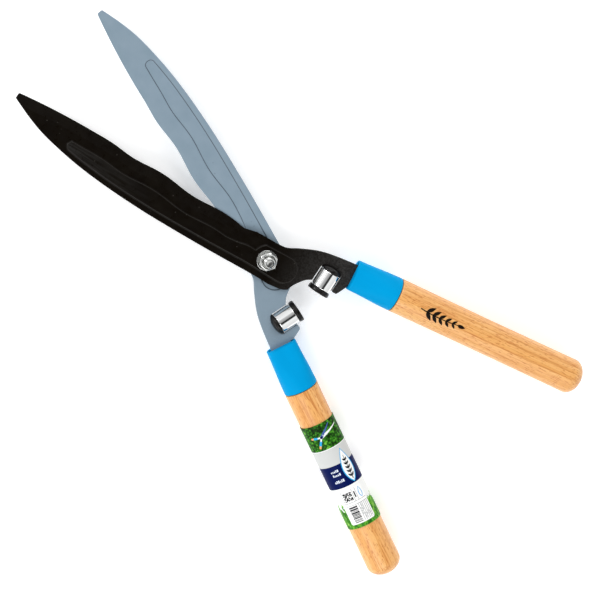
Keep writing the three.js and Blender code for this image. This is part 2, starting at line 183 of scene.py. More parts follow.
@dataclass(frozen=True)
class Finish:
    """A finish that builds one material; each kind fills in the shader's inputs."""

    name: str

    def dress(self, tree: bpy.types.NodeTree, coords: bpy.types.NodeSocket) -> dict[str, Any]:
        """Adds the finish's nodes; each kind of finish has its own.

        Args:
            tree: The material's node tree.
            coords: Coordinates in the piece's own drawing frame, in metres, which its mesh carries.

        Returns:
            The shader's inputs, as set_inputs takes them.
        """
        raise NotImplementedError

    def material(self) -> bpy.types.Material:
        """Gives the material, made on first use."""
        known = bpy.data.materials.get(self.name)
        if known is not None:
            return known
        made = bpy.data.materials.new(self.name)
        made.use_nodes = True
        tree = made.node_tree
        coords = add_node(tree, "Attribute", attribute_name=OWN_COORDS).outputs["Vector"]
        set_inputs(tree, tree.nodes["Principled BSDF"], self.dress(tree, coords))
        return made


@dataclass(frozen=True)
class BakedCoating(Finish):
    """Polyester powder coat baked on steel: satin, even, with a fine peel and a few dust flecks."""

    colour: str = "#0A0603"
    cloud: str = "#0F0B06"
    fleck: str = "#3C3935"
    roughness: float = 0.3
    fleck_share: float = 0.12  # share of the places for a fleck that have one
    fleck_spacing: float = 3.2  # between places where a fleck can be, mm
    fleck_size: float = 0.16  # fleck's radius as a share of that spacing
    peel: float = 0.012  # depth, mm
    gloss: float = 0.09  # specular level
    arm_light_and_streaks: str = "#363534"  # colour painted on the arm as its light and shade; also the colour of the panel's streaks
    streak_strength: float = 0.5  # how strongly streaks lighten the panel's top towards its tip end
    painted_wall_shading: str = "#272522"  # colour painted along the panel's sloping wall: a painted highlight line on the black blade, painted shade on the grey
    wall_level: Point = (2.2, 0.16)  # level of that painted shading above the middle of the sheet, give or take, mm

    def flecks(self, tree: bpy.types.NodeTree, coords: bpy.types.NodeSocket) -> bpy.types.Node:
        """Mask of scattered round flecks."""
        spots = {"Vector": coords, "Scale": per_mm(self.fleck_spacing)}
        cells = add_node(tree, "TexVoronoi", spots).outputs
        size, rare = self.fleck_size, 1 - self.fleck_share
        near = add_node(tree, "MapRange", {"Value": cells["Distance"], **between(size * 0.6, size, 1, 0)})
        drawn = add_node(tree, "SeparateColor", {"Color": cells["Color"]})
        kept = add_node(tree, "MapRange", {"Value": drawn, **between(rare, rare + 0.02)})
        return add_node(tree, "Math", {0: near, 1: kept}, operation="MULTIPLY")

    def panel_streaks(self, tree: bpy.types.NodeTree, coords: bpy.types.NodeSocket, where: Any) -> bpy.types.Node:
        """Mask of lighter streaks along the top of the panel, growing towards its tip end."""
        # The panel's top stands 2.4 mm from the middle of the sheet, the plain sheet 1.5 mm.
        height = {"Value": where["Z"], **between(2.1 * MM, 2.35 * MM, 0, self.streak_strength)}
        raised = add_node(tree, "MapRange", height)
        near_tip = add_node(tree, "MapRange", {"Value": where["Y"], **between(95 * MM, 180 * MM)})
        along = add_node(tree, "Mapping", {"Vector": coords, "Scale": (1, 0.05, 1)})
        streak_noise = add_node(tree, "TexNoise", {"Vector": along, "Scale": per_mm(1.2), "Detail": 3})
        fine = add_node(tree, "MapRange", {"Value": streak_noise, **between(0.35, 0.65, 0.1)})
        on_panel = add_node(tree, "Math", {0: raised, 1: near_tip}, operation="MULTIPLY")
        return add_node(tree, "Math", {0: on_panel, 1: fine}, operation="MULTIPLY")

    def dress(self, tree: bpy.types.NodeTree, coords: bpy.types.NodeSocket) -> dict[str, Any]:
        """Clouded colour, painted light on the arm and the panel's wall, panel streaks, rare flecks, uneven
        gloss and a sprayed peel.
        """
        where = add_node(tree, "SeparateXYZ", {"Vector": coords}).outputs
        clouds = add_node(tree, "TexNoise", {"Vector": coords, "Scale": per_mm(14), "Detail": 5})
        cloudy = add_node(tree, "MapRange", {"Value": clouds, **between(0.35, 0.68)})
        # Painted light and shade: speckled colour over the arm, lighter on the black blade and darker on
        # the grey, for how the light falls along the tool.
        on_arm = add_node(tree, "MapRange", {"Value": where["Y"], **between(-10 * MM, -50 * MM)})
        powder = add_node(tree, "TexNoise", {"Vector": coords, "Scale": per_mm(1.1), "Detail": 4})
        speckle = add_node(tree, "MapRange", {"Value": powder, **between(0.38, 0.62, 0.35)})
        painted_arm_light = add_node(tree, "Math", {0: on_arm, 1: speckle}, operation="MULTIPLY")
        streak_mask = self.panel_streaks(tree, coords, where)
        # Painted shading on the panel's sloping wall: a lighter painted highlight line on the black blade,
        # painted shade on the grey.
        level, spread = (value * MM for value in self.wall_level)
        painted_wall_mask = add_node(tree, "Math", {0: where["Z"], 1: level, 2: spread}, operation="COMPARE")
        layers = [(cloudy, self.cloud), (painted_arm_light, self.arm_light_and_streaks), (streak_mask, self.arm_light_and_streaks)]
        layers += [(painted_wall_mask, self.painted_wall_shading), (self.flecks(tree, coords), self.fleck)]
        # Powder grit is about 0.1 mm; 1.1 mm is as fine as shows at arm's length.
        grit = add_node(tree, "TexNoise", {"Vector": coords, "Scale": per_mm(1.1), "Detail": 2})
        patches = add_node(tree, "TexNoise", {"Vector": coords, "Scale": per_mm(5), "Detail": 3})
        gloss_range = between(0.3, 0.7, self.roughness - 0.05, self.roughness + 0.07)
        return {
            "Base Color": layered(tree, self.colour, *layers),
            "Roughness": add_node(tree, "MapRange", {"Value": patches, **gloss_range}),
            "Specular IOR Level": self.gloss,
            "Normal": add_node(tree, "Bump", {"Height": grit, "Distance": self.peel * MM}),
        }


@dataclass(frozen=True)
class PlatedSteel(Finish):
    """Zinc plated steel: bright, mottled and slightly dull."""

    colour: str = "#D9DAD8"
    dull: str = "#BFC0BD"
    low_roughness: float = 0.16
    high_roughness: float = 0.26
    mottle: float = 3.0  # size of the mottling, mm
    dents: float = 0.015  # depth, mm

    def dress(self, tree: bpy.types.NodeTree, coords: bpy.types.NodeSocket) -> dict[str, Any]:
        """A metal with uneven gloss and the small unevenness of a plated surface."""
        spots = add_node(tree, "TexNoise", {"Vector": coords, "Scale": per_mm(self.mottle), "Detail": 2})
        tint = add_node(tree, "MapRange", {"Value": spots, **between(0.3, 0.7)})
        gloss_range = between(0.35, 0.65, self.low_roughness, self.high_roughness)
        return {
            "Metallic": 1.0,
            "Base Color": layered(tree, self.colour, (tint, self.dull)),
            "Roughness": add_node(tree, "MapRange", {"Value": spots, **gloss_range}),
            "Normal": add_node(tree, "Bump", {"Height": spots, "Distance": self.dents * MM}),
        }


@dataclass(frozen=True)
class Chrome(Finish):
    """Polished chrome plate: a near mirror with hairline polishing marks round the sleeve."""

    colour: str = "#F1F2F2"

    def dress(self, tree: bpy.types.NodeTree, coords: bpy.types.NodeSocket) -> dict[str, Any]:
        """A mirror with faint polishing marks."""
        # Polishing hairlines are hundredths of a millimetre apart; 0.5 mm still shows as a faint veil.
        round_axis = add_node(tree, "Mapping", {"Vector": coords, "Scale": (0.05, 1, 0.05)})
        marks = add_node(tree, "TexNoise", {"Vector": round_axis, "Scale": per_mm(0.5), "Detail": 2})
        return {
            "Metallic": 1.0,
            "Base Color": self.colour,
            "Roughness": add_node(tree, "MapRange", {"Value": marks, **between(0.3, 0.7, 0.05, 0.13)}),
            "Normal": add_node(tree, "Bump", {"Height": marks, "Distance": 0.002 * MM}),
        }


@dataclass(frozen=True)
class MouldedPlastic(Finish):
    """Injection-moulded polypropylene: saturated, semi-gloss, with a faint moulded grain and flow marks."""

    colour: str = "#009AD6"
    shade: str = "#0096D2"
    roughness: float = 0.45
    gloss: float = 0.03  # specular level

    def dress(self, tree: bpy.types.NodeTree, coords: bpy.types.NodeSocket) -> dict[str, Any]:
        """An even colour with weak flow marks along the moulding."""
        along = add_node(tree, "Mapping", {"Vector": coords, "Scale": (1, 0.2, 1)})
        marks = add_node(tree, "TexNoise", {"Vector": along, "Scale": per_mm(9), "Detail": 3})
        flow = add_node(tree, "MapRange", {"Value": marks, **between(0.35, 0.7)})
        # Moulded grain is about 0.2 mm; 0.9 mm is as fine as shows.
        grain = add_node(tree, "TexNoise", {"Vector": coords, "Scale": per_mm(0.9), "Detail": 2})
        gloss_range = between(0.3, 0.7, self.roughness - 0.04, self.roughness + 0.06)
        return {
            "Base Color": layered(tree, self.colour, (flow, self.shade)),
            "Roughness": add_node(tree, "MapRange", {"Value": grain, **gloss_range}),
            "IOR": 1.49,
            "Specular IOR Level": self.gloss,
            "Normal": add_node(tree, "Bump", {"Height": grain, "Distance": 0.006 * MM}),
        }


@dataclass(frozen=True)
class Rubber(Finish):
    """Moulded black rubber with a smooth, slightly waxy skin."""

    colour: str = "#080605"
    bloom: str = "#141112"

    def dress(self, tree: bpy.types.NodeTree, coords: bpy.types.NodeSocket) -> dict[str, Any]:
        """Nearly black, with a bloom that is a little lighter in patches."""
        patches = add_node(tree, "TexNoise", {"Vector": coords, "Scale": per_mm(2.5), "Detail": 4})
        waxy = add_node(tree, "MapRange", {"Value": patches, **between(0.4, 0.75)})
        skin = add_node(tree, "TexNoise", {"Vector": coords, "Scale": per_mm(0.7), "Detail": 2})
        return {
            "Base Color": layered(tree, self.colour, (waxy, self.bloom)),
            "Roughness": add_node(tree, "MapRange", {"Value": waxy, **between(0, 1, 0.24, 0.36)}),
            "IOR": 1.52,
            "Specular IOR Level": 0.25,
            "Normal": add_node(tree, "Bump", {"Height": skin, "Distance": 0.008 * MM}),
        }


@dataclass(frozen=True)
class Nylon(Finish):
    """Natural nylon: milky and matt."""

    colour: str = "#E9E8E1"
    cloud: str = "#DCDAD0"

    def dress(self, tree: bpy.types.NodeTree, coords: bpy.types.NodeSocket) -> dict[str, Any]:
        """Milky colour, slightly clouded."""
        clouds = add_node(tree, "TexNoise", {"Vector": coords, "Scale": per_mm(1.5), "Detail": 3})
        milky = layered(tree, self.colour, (clouds, self.cloud))
        return {"Base Color": milky, "Roughness": 0.5, "IOR": 1.53}


@dataclass(frozen=True)
class VarnishedBeech(Finish):
    """Steamed beech, turned and varnished: warm, streaked by growth rings, with short ray flecks."""

    light: str = "#F2BD79"
    middle: str = "#E7A85E"
    dark: str = "#C1742F"
    fleck: str = "#BE6D2A"
    pith: Point = (31.0, 12.0)  # centre of the growth rings from the handle's axis, mm
    slope: float = 2.6  # degrees between the grain and the handle's axis
    ring: float = 4.4  # ring width, mm
    wander: float = 14.0  # how far the rings wander, mm

    def rings(self, tree: bpy.types.NodeTree, coords: bpy.types.NodeSocket) -> bpy.types.NodeSocket:
        """Growth rings about a pith beside the handle."""
        along = add_node(tree, "Mapping", {"Vector": coords, "Scale": (1, 0.25, 1)})
        warp = add_node(tree, "TexNoise", {"Vector": along, "Scale": per_mm(34), "Detail": 2}).outputs
        push = add_node(tree, "VectorMath", {0: warp["Color"], 1: (0.5, 0.5, 0.5)}, operation="SUBTRACT")
        scaled = add_node(tree, "VectorMath", {0: push, "Scale": self.wander * MM}, operation="SCALE")
        bent = add_node(tree, "VectorMath", {0: coords, 1: scaled}, operation="ADD")
        tilt = math.radians(self.slope)
        beside = (self.pith[0] * MM, 0, self.pith[1] * MM)
        lean = (tilt, 0, tilt * 0.8)
        grown = add_node(tree, "Mapping", {"Vector": bent, "Location": beside, "Rotation": lean})
        # A wave texture repeats every 0.314 of its scaled coordinate.
        scale = 0.314 / (self.ring * MM)
        return add_node(
            tree,
            "TexWave",
            {"Vector": grown, "Scale": scale, "Distortion": 1.2, "Detail": 2, "Detail Scale": 0.6},
            wave_type="RINGS",
            rings_direction="Y",
            wave_profile="SAW",
        ).outputs["Fac"]

    def dress(self, tree: bpy.types.NodeTree, coords: bpy.types.NodeSocket) -> dict[str, Any]:
        """Growth rings, fibres, ray flecks and clear varnish."""
        # Fibres are finer than a tenth of a millimetre; streaks 1.1 mm wide stand for bundles of them.
        fibre_way = add_node(tree, "Mapping", {"Vector": coords, "Scale": (1, 0.035, 1)})
        fibres = add_node(tree, "TexNoise", {"Vector": fibre_way, "Scale": per_mm(1.1), "Detail": 4})
        broad_way = add_node(tree, "Mapping", {"Vector": coords, "Scale": (1, 0.06, 1)})
        broad = add_node(tree, "TexNoise", {"Vector": broad_way, "Scale": per_mm(7), "Detail": 3})
        ringed = add_node(tree, "MapRange", {"Value": self.rings(tree, coords), **between(0, 1, 0, 0.36)})
        streaked = add_node(tree, "MapRange", {"Value": fibres, **between(0.32, 0.7, 0, 0.48)})
        clouded = add_node(tree, "MapRange", {"Value": broad, **between(0.35, 0.68, 0, 0.24)})
        both = add_node(tree, "Math", {0: ringed, 1: streaked}, operation="ADD")
        total = add_node(tree, "Math", {0: both, 1: clouded}, operation="ADD")
        tones = [(0.12, self.light), (0.52, self.middle), (0.98, self.dark)]
        wood = add_node(tree, "ValToRGB", {"Fac": total}, tones)
        # Ray flecks are 0.3 mm by 2 to 4 mm; they are drawn twice as wide so that they show.
        ray_way = add_node(tree, "Mapping", {"Vector": coords, "Scale": (1, 0.17, 1)})
        dashes = add_node(tree, "TexNoise", {"Vector": ray_way, "Scale": per_mm(0.72), "Detail": 1})
        flecked = add_node(tree, "MapRange", {"Value": dashes, **between(0.575, 0.66, 0, 0.7)})
        return {
            "Base Color": layered(tree, wood, (flecked, self.fleck)),
            "Roughness": add_node(tree, "MapRange", {"Value": fibres, **between(0.3, 0.7, 0.36, 0.5)}),
            "Coat Weight": 0.25,
            "Coat Roughness": 0.22,
            "Normal": add_node(tree, "Bump", {"Height": dashes, "Distance": -0.006 * MM}),
        }


PRINT_GLOSS = 0.06  # specular level of the varnish over the print


@dataclass(frozen=True)
class Ink(Finish):
    """One flat printing ink on coated paper or on varnished wood."""

    colour: str = "#FFFFFF"
    roughness: float = 0.42

    def dress(self, tree: bpy.types.NodeTree, coords: bpy.types.NodeSocket) -> dict[str, Any]:
        """Ink with the faint unevenness of the paper under it."""
        fibre = add_node(tree, "TexNoise", {"Vector": coords, "Scale": per_mm(0.8), "Detail": 2})
        gloss_range = between(0.3, 0.7, self.roughness - 0.05, self.roughness + 0.05)
        return {
            "Base Color": self.colour,
            "Roughness": add_node(tree, "MapRange", {"Value": fibre, **gloss_range}),
            "Specular IOR Level": PRINT_GLOSS,
            "Normal": add_node(tree, "Bump", {"Height": fibre, "Distance": 0.004 * MM}),
        }


@dataclass(frozen=True)
class HedgePrint(Finish):
    """Printed picture of clipped hedge leaves, out of focus behind and lit in front."""

    leaf: float = 1.9  # size of a leaf, mm
    wander: float = 1.6  # how far the leaves' outlines wander, mm

    def dress(self, tree: bpy.types.NodeTree, coords: bpy.types.NodeSocket) -> dict[str, Any]:
        """Leaf cells in four greens, each with its own tone, over dark gaps."""
        warp = add_node(tree, "TexNoise", {"Vector": coords, "Scale": per_mm(2.5)}).outputs["Color"]
        moved = add_node(tree, "VectorMath", {0: warp, "Scale": self.wander * MM}, operation="SCALE")
        where = add_node(tree, "VectorMath", {0: coords, 1: moved}, operation="ADD")
        leaves = add_node(tree, "TexVoronoi", {"Vector": where, "Scale": per_mm(self.leaf)}).outputs
        lit = add_node(tree, "MapRange", {"Value": leaves["Distance"], **between(0.1, 0.75, 0.75, 0.1)})
        tone = add_node(tree, "SeparateColor", {"Color": leaves["Color"]})
        own_tone = add_node(tree, "Math", {0: tone, 1: 0.45}, operation="MULTIPLY")
        summed = add_node(tree, "Math", {0: lit, 1: own_tone}, operation="ADD")
        clumps = add_node(tree, "TexNoise", {"Vector": coords, "Scale": per_mm(4.5), "Detail": 3})
        depth = add_node(tree, "MapRange", {"Value": clumps, **between(0.3, 0.7, 0.35)})
        shaded = add_node(tree, "Math", {0: summed, 1: depth}, operation="MULTIPLY")
        greens = [(0.08, "#0A1606"), (0.3, "#1E4A11"), (0.55, "#37841F"), (0.85, "#74B83F")]
        picture = add_node(tree, "ValToRGB", {"Fac": shaded}, greens)
        return {"Base Color": picture, "Roughness": 0.4, "Specular IOR Level": PRINT_GLOSS}


@dataclass(frozen=True)
class GrassPrint(Finish):
    """Printed blades of grass that fade out upwards to the white of the paper."""

    top: float = 136.0  # where the blades of grass end, from the ferrule's mouth, mm
    ragged: float = 3.5  # how uneven their ends are, mm
    fade: float = 0.4  # over which they end, mm

    @staticmethod
    def slanted(tree: bpy.types.NodeTree, coords: bpy.types.NodeSocket, lean: float, width: float) -> Any:
        """Streaks that lean sideways by an angle in radians, width in millimetres."""
        leaning = add_node(tree, "Mapping", {"Vector": coords, "Rotation": (0, 0, lean)})
        drawn_out = add_node(tree, "Mapping", {"Vector": leaning, "Scale": (1, 0.16, 1)})
        return add_node(tree, "TexNoise", {"Vector": drawn_out, "Scale": per_mm(width), "Detail": 2})

    def dress(self, tree: bpy.types.NodeTree, coords: bpy.types.NodeSocket) -> dict[str, Any]:
        """Slanting blades in four greens under a ragged edge."""
        blades = self.slanted(tree, coords, 0.35, 1.6)
        crossing = self.slanted(tree, coords, -0.5, 2.0)
        both = add_node(tree, "Math", {0: blades, 1: crossing}, operation="MAXIMUM")
        greens = [(0.42, "#1E4F14"), (0.52, "#3C8A25"), (0.62, "#6DB238"), (0.74, "#A6D36A")]
        grass = add_node(tree, "ValToRGB", {"Fac": both}, greens)
        along = add_node(tree, "SeparateXYZ", {"Vector": coords}).outputs["Y"]
        ends = between(0.35, 0.65, (self.top + self.ragged) * MM, (self.top - self.ragged) * MM)
        edge = add_node(tree, "MapRange", {"Value": blades, **ends})
        over = add_node(tree, "Math", {0: along, 1: edge}, operation="SUBTRACT")
        inked = add_node(tree, "MapRange", {"Value": over, **between(0, self.fade * MM)})
        picture = layered(tree, "#F3F5F4", (inked, grass))
        return {"Base Color": picture, "Roughness": 0.4, "Specular IOR Level": PRINT_GLOSS}


@dataclass(frozen=True)
class PaleFloor(Finish):
    """Plain white-painted studio floor."""

    def dress(self, tree: bpy.types.NodeTree, coords: bpy.types.NodeSocket) -> dict[str, Any]:
        """Matt white with a little light of its own, like a lit table."""
        return {
            "Base Color": "#FAFAFA",
            "Emission Color": "#FFFFFF",
            "Emission Strength": 0.3,
            "Roughness": 0.9,
            "Specular IOR Level": 0.1,
        }


BLACK_COAT = BakedCoating("black_coating")
GREY_COAT = BakedCoating(
    "grey_coating",
    colour="#8294A2",
    cloud="#7C8F9D",
    fleck="#67757F",
    roughness=0.45,
    fleck_share=0.03,
    peel=0.008,
    gloss=0.3,
    # The grey arm's painted shade, a little darker than the coat.
    arm_light_and_streaks="#7B8C99",
    streak_strength=0.0,
    # Painted shade along the wall of the sunk panel.
    painted_wall_shading="#55626D",
    wall_level=(-1.05, 0.26),
)
ZINC = PlatedSteel("zinc_plate")
CHROME = Chrome("chrome_plate")
BLUE = MouldedPlastic("blue_polypropylene")
RUBBER = Rubber("black_rubber")
NYLON = Nylon("natural_nylon")
FRONT_BEECH = VarnishedBeech("front_beech")
REAR_BEECH = VarnishedBeech("rear_beech", pith=(-26.0, -17.0), slope=-2.1, ring=6.0)
WHITE_PAPER = Ink("white_paper", "#F3F5F4")
GREY_PAPER = Ink("grey_print", "#CDCFCE")
NAVY = Ink("navy_print", "#02124F")
STICKER = Ink("sticker_paper", "#F7F8F8")
DARK_INK = Ink("dark_ink", "#2B2D30")
PALE_INK = Ink("pale_ink", "#DDE4F2")
SKY_INK = Ink("sky_ink", "#2FA9E4")
GRIP_INK = Ink("grip_ink", "#E8A86A")
STEEL_INK = Ink("steel_ink", "#4A64A0")
FAINT_INK = Ink("faint_ink", "#6E7478")
STAMP_BLACK = Ink("wood_stamp", "#17110C", 0.5)


# ---- Meshes -------------------------------------------------------------------------------------


def rounded(points: Sequence[Point], radius: float, steps: int = 4, closed: bool = False) -> list[Point]:
    """Replaces the corners of a line by short curves.

    Args:
        points: Corner points.
        radius: How far a curve starts before its corner.
        steps: Segments in each curve.
        closed: Whether the line runs round to its start.

    Returns:
        The finer line.
    """
    line: list[Point] = []
    count = len(points)
    for i, here in enumerate(points):
        if not closed and i in (0, count - 1):
            line.append(here)
            continue
        corner = Vector(here)
        before = Vector(points[i - 1]) - corner
        after = Vector(points[(i + 1) % count]) - corner
        reach = min(radius, before.length * 0.45, after.length * 0.45)
        start, end = corner + before.normalized() * reach, corner + after.normalized() * reach
        for step in range(steps + 1):
            t = step / steps
            spot = start * (1 - t) ** 2 + corner * (2 * t * (1 - t)) + end * t**2
            line.append((spot.x, spot.y))
    return line


def loft(rings: Sequence[Sequence[Vector]], joined: bool = False) -> Mesh:
    """Skin through rings of equal point counts.

    Args:
        rings: Rings, in order along the skin.
        joined: True if the last ring meets the first; otherwise both ends are capped.

    Returns:
        Vertices and faces.
    """
    count = len(rings[0])
    vertices = [point for ring in rings for point in ring]
    faces: list[tuple[int, ...]] = []
    spans = len(rings) if joined else len(rings) - 1
    for r in range(spans):
        low, high = r * count, (r + 1) % len(rings) * count
        for i in range(count):
            j = (i + 1) % count
            faces.append((low + i, low + j, high + j, high + i))
    if not joined:
        last = (len(rings) - 1) * count
        faces.append(tuple(range(count - 1, -1, -1)))
        faces.append(tuple(last + i for i in range(count)))
    return vertices, faces


def turned(profile: Sequence[Point], sides: int, joined: bool = False) -> Mesh:
    """Solid of revolution about Y.

    Args:
        profile: Radius and y, in millimetres.
        sides: Facets round the axis.
        joined: True for a tube whose profile runs back to its start.

    Returns:
        Vertices and faces.
    """
    rings = []
    for radius, y in profile:
        turns = [2 * math.pi * i / sides for i in range(sides)]
        rings.append([Vector((radius * math.cos(a), y, -radius * math.sin(a))) for a in turns])
    return loft(rings, joined)


def tube(inner: float, outer: float, start: float, end: float, edge: float, sides: int) -> Mesh:
    """Round tube or washer about Y with rounded edges, in millimetres."""
    corners = [(inner, start), (outer, start), (outer, end), (inner, end)]
    return turned(rounded(corners, edge, closed=True), sides, joined=True)


class Shade(Enum):
    """How an object's faces meet: edges above this angle, in degrees, stay sharp."""

    CRISP = 28
    SOFT = 42


@dataclass
class Piece:
    """One visible piece: where it rides, what it replaces and a slot name; its finishes are handed to
    build.
    """

    name: str
    body: str
    slot: str
    replaces: Optional[str] = None
    shade: Shade = Shade.CRISP

    def build(
        self, mesh: Mesh, finishes: Sequence[Finish], place: Matrix, pick: Optional[Callable] = None
    ) -> bpy.types.Object:
        """Makes the object, dresses it and hands it to the frame.

        Args:
            mesh: Vertices in millimetres, and faces.
            finishes: Finishes, in the order of the material slots.
            place: From the mesh's frame to the row frame.
            pick: Gives a face's material slot from its centre, if there are several.

        Returns:
            The new object.
        """
        vertices, faces = mesh
        data = bpy.data.meshes.new(self.name)
        own = [v * MM for v in vertices]
        data.from_pydata([place @ v for v in own], [], faces)
        carried = data.attributes.new(OWN_COORDS, "FLOAT_VECTOR", "POINT")
        carried.data.foreach_set("vector", [c for v in own for c in v])
        data.update()
        for finish in finishes:
            data.materials.append(finish.material())
        for polygon in data.polygons:
            polygon.material_index = pick(place.inverted() @ polygon.center / MM) if pick else 0
        data.shade_smooth()
        data.set_sharp_from_angle(angle=math.radians(self.shade.value))
        thing = bpy.data.objects.new(self.name, data)
        bpy.context.scene.collection.objects.link(thing)
        bpy.context.view_layer.update()
        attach(thing, self.body)
        if self.replaces:
            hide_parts(self.replaces)
        log.info("%s: %d faces on %s", self.name, len(faces), self.body)
        return thing


def even_faces(thing: bpy.types.Object) -> None:
    """Weights the normals by face area, so that flat faces stay flat beside their rounded edges."""
    weighted = thing.modifiers.new("even_faces", "WEIGHTED_NORMAL")
    weighted.mode = "FACE_AREA"
    weighted.weight = 50
    weighted.keep_sharp = True


def cut_block(thing: bpy.types.Object, low: Point3, high: Point3, place: Matrix) -> None:
    """Takes a block out of a piece.

    Args:
        thing: The piece.
        low: Block's lowest corner in the piece's own frame, in millimetres.
        high: Its highest corner.
        place: From the piece's own frame to the row frame.
    """
    (x0, y0, z0), (x1, y1, z1) = low, high
    corners = [Vector((x, y, z)) * MM for x in (x0, x1) for y in (y0, y1) for z in (z0, z1)]
    sides = [(0, 1, 3, 2), (4, 6, 7, 5), (0, 4, 5, 1), (2, 3, 7, 6), (0, 2, 6, 4), (1, 5, 7, 3)]
    data = bpy.data.meshes.new("block")
    data.from_pydata([place @ corner for corner in corners], [], sides)
    block = bpy.data.objects.new("block", data)
    bpy.context.scene.collection.objects.link(block)
    modifier = thing.modifiers.new("cut", "BOOLEAN")
    modifier.object, modifier.operation, modifier.solver = block, "DIFFERENCE", "EXACT"
    bpy.context.view_layer.update()
    graph = bpy.context.evaluated_depsgraph_get()
    shaped = bpy.data.meshes.new_from_object(thing.evaluated_get(graph))
    thing.modifiers.clear()
    thing.data = shaped
    bpy.data.objects.remove(block)


# ---- Halves -------------------------------------------------------------------------------------


@dataclass(frozen=True)
class Half:
    """One half of the shears: its side, its body, and how its drawing frame lies in the row frame."""

    side: str
    flipped: bool

    @property
    def body(self) -> str:
        """Name of the body that this half's pieces ride on."""
        return f"{self.side}_half"

    def piece(self, part: str, slot: str, shade: Shade = Shade.CRISP) -> Piece:
        """A piece of this half that stands for its CAD node."""
        node = f"{self.side}_{part}"
        return Piece(f"{node}_fine", self.body, slot, node, shade)

    def place(self) -> Matrix:
        """From the half's drawing frame to the row frame, at the height of its bumper's axis."""
        low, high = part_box(f"{self.side}_bumper_sleeve")
        turn = Matrix.Rotation(OPEN_TURN, 4, "Z")
        if self.flipped:
            turn = Matrix.Rotation(math.pi, 4, "Y") @ turn
        return Matrix.Translation((0, 0, (low[2] + high[2]) / 2)) @ turn


def spline(points: Sequence[Point], steps: int) -> list[Point]:
    """Smooth line through points.

    Args:
        points: Points that it passes.
        steps: Segments in the whole line.

    Returns:
        Points at even steps of the line's own parameter.
    """
    line = []
    last = len(points) - 1
    for step in range(steps + 1):
        place = last * step / steps
        i = min(int(place), last)
        t = place - i
        around = [Vector(points[min(max(i + k, 0), last)]) for k in (-1, 0, 1, 2)]
        start, end = (around[2] - around[0]) * 0.5, (around[3] - around[1]) * 0.5
        spot = (around[1] * 2 - around[2] * 2 + start + end) * t**3
        spot += (around[2] * 3 - around[1] * 3 - start * 2 - end) * t**2 + start * t + around[1]
        line.append((spot.x, spot.y))
    return line


def arc(
    centre: Point, radius: float, start: float, end: float, steps: int, squash: float = 1.0
) -> list[Point]:
    """Points on an arc, from a start angle to an end angle in radians; squash scales it along y."""
    angles = [start + (end - start) * i / steps for i in range(steps + 1)]
    return [(centre[0] + radius * math.cos(a), centre[1] + radius * squash * math.sin(a)) for a in angles]


def smoothstep(value: Any, low: float, high: float) -> Any:
    """Zero below low, one above high and a smooth rise between."""
    share = np.clip((np.asarray(value, dtype=float) - low) / (high - low), 0, 1)
    return share * share * (3 - 2 * share)


def resampled(loop: Sequence[Point], step: float) -> list[Point]:
    """A closed line with long sides divided so that none is longer than step, its corners kept."""
    line: list[Point] = []
    for i, (x, y) in enumerate(loop):
        nx, ny = loop[(i + 1) % len(loop)]
        length = math.hypot(nx - x, ny - y)
        if length < 1e-4:
            continue
        parts = max(1, math.ceil(length / step))
        line += [(x + (nx - x) * k / parts, y + (ny - y) * k / parts) for k in range(parts)]
    return line


def inset(loop: Sequence[Point], distances: Sequence[float]) -> list[Point]:
    """Moves every point of a counter-clockwise line inwards by its own distance."""
    points = np.array(loop)
    ahead = np.roll(points, -1, axis=0) - points
    ahead /= np.linalg.norm(ahead, axis=1)[:, None]
    behind = np.roll(ahead, 1, axis=0)
    normal = np.stack([-(ahead + behind)[:, 1], (ahead + behind)[:, 0]], axis=1)
    normal /= np.linalg.norm(normal, axis=1)[:, None]
    side = np.stack([-ahead[:, 1], ahead[:, 0]], axis=1)
    reach = np.asarray(distances) / np.clip((normal * side).sum(axis=1), 0.7, 1)
    return [tuple(p) for p in points + normal * reach[:, None]]


def distance_to(points: np.ndarray, loop: Sequence[Point]) -> tuple[np.ndarray, np.ndarray]:
    """Least distance from each point to a closed line.

    Args:
        points: Points, one to a row.
        loop: The closed line.

    Returns:
        Distances, positive inside and negative outside, and the index of each nearest segment.
    """
    start = np.array(loop)
    end = np.roll(start, -1, axis=0)
    along = end - start
    length = (along**2).sum(axis=1)
    best = np.full(len(points), 1e9)
    nearest = np.zeros(len(points), dtype=int)
    inside = np.zeros(len(points), dtype=bool)
    for chunk in range(0, len(points), 2000):
        part = points[chunk : chunk + 2000]
        offset = part[:, None, :] - start[None]
        share = np.clip((offset * along[None]).sum(axis=2) / length, 0, 1)
        gaps = np.linalg.norm(offset - share[..., None] * along[None], axis=2)
        nearest[chunk : chunk + 2000] = gaps.argmin(axis=1)
        best[chunk : chunk + 2000] = gaps.min(axis=1)
        above = start[None, :, 1] > part[:, None, 1]
        crosses = above != (end[None, :, 1] > part[:, None, 1])
        rise = np.where(np.abs(along[:, 1]) < 1e-12, 1e-12, along[:, 1])
        at = start[None, :, 0] + offset[..., 1] / rise[None] * along[None, :, 0]
        inside[chunk : chunk + 2000] = (crosses & (part[:, None, 0] < at)).sum(axis=1) % 2 == 1
    return np.where(inside, best, -best), nearest


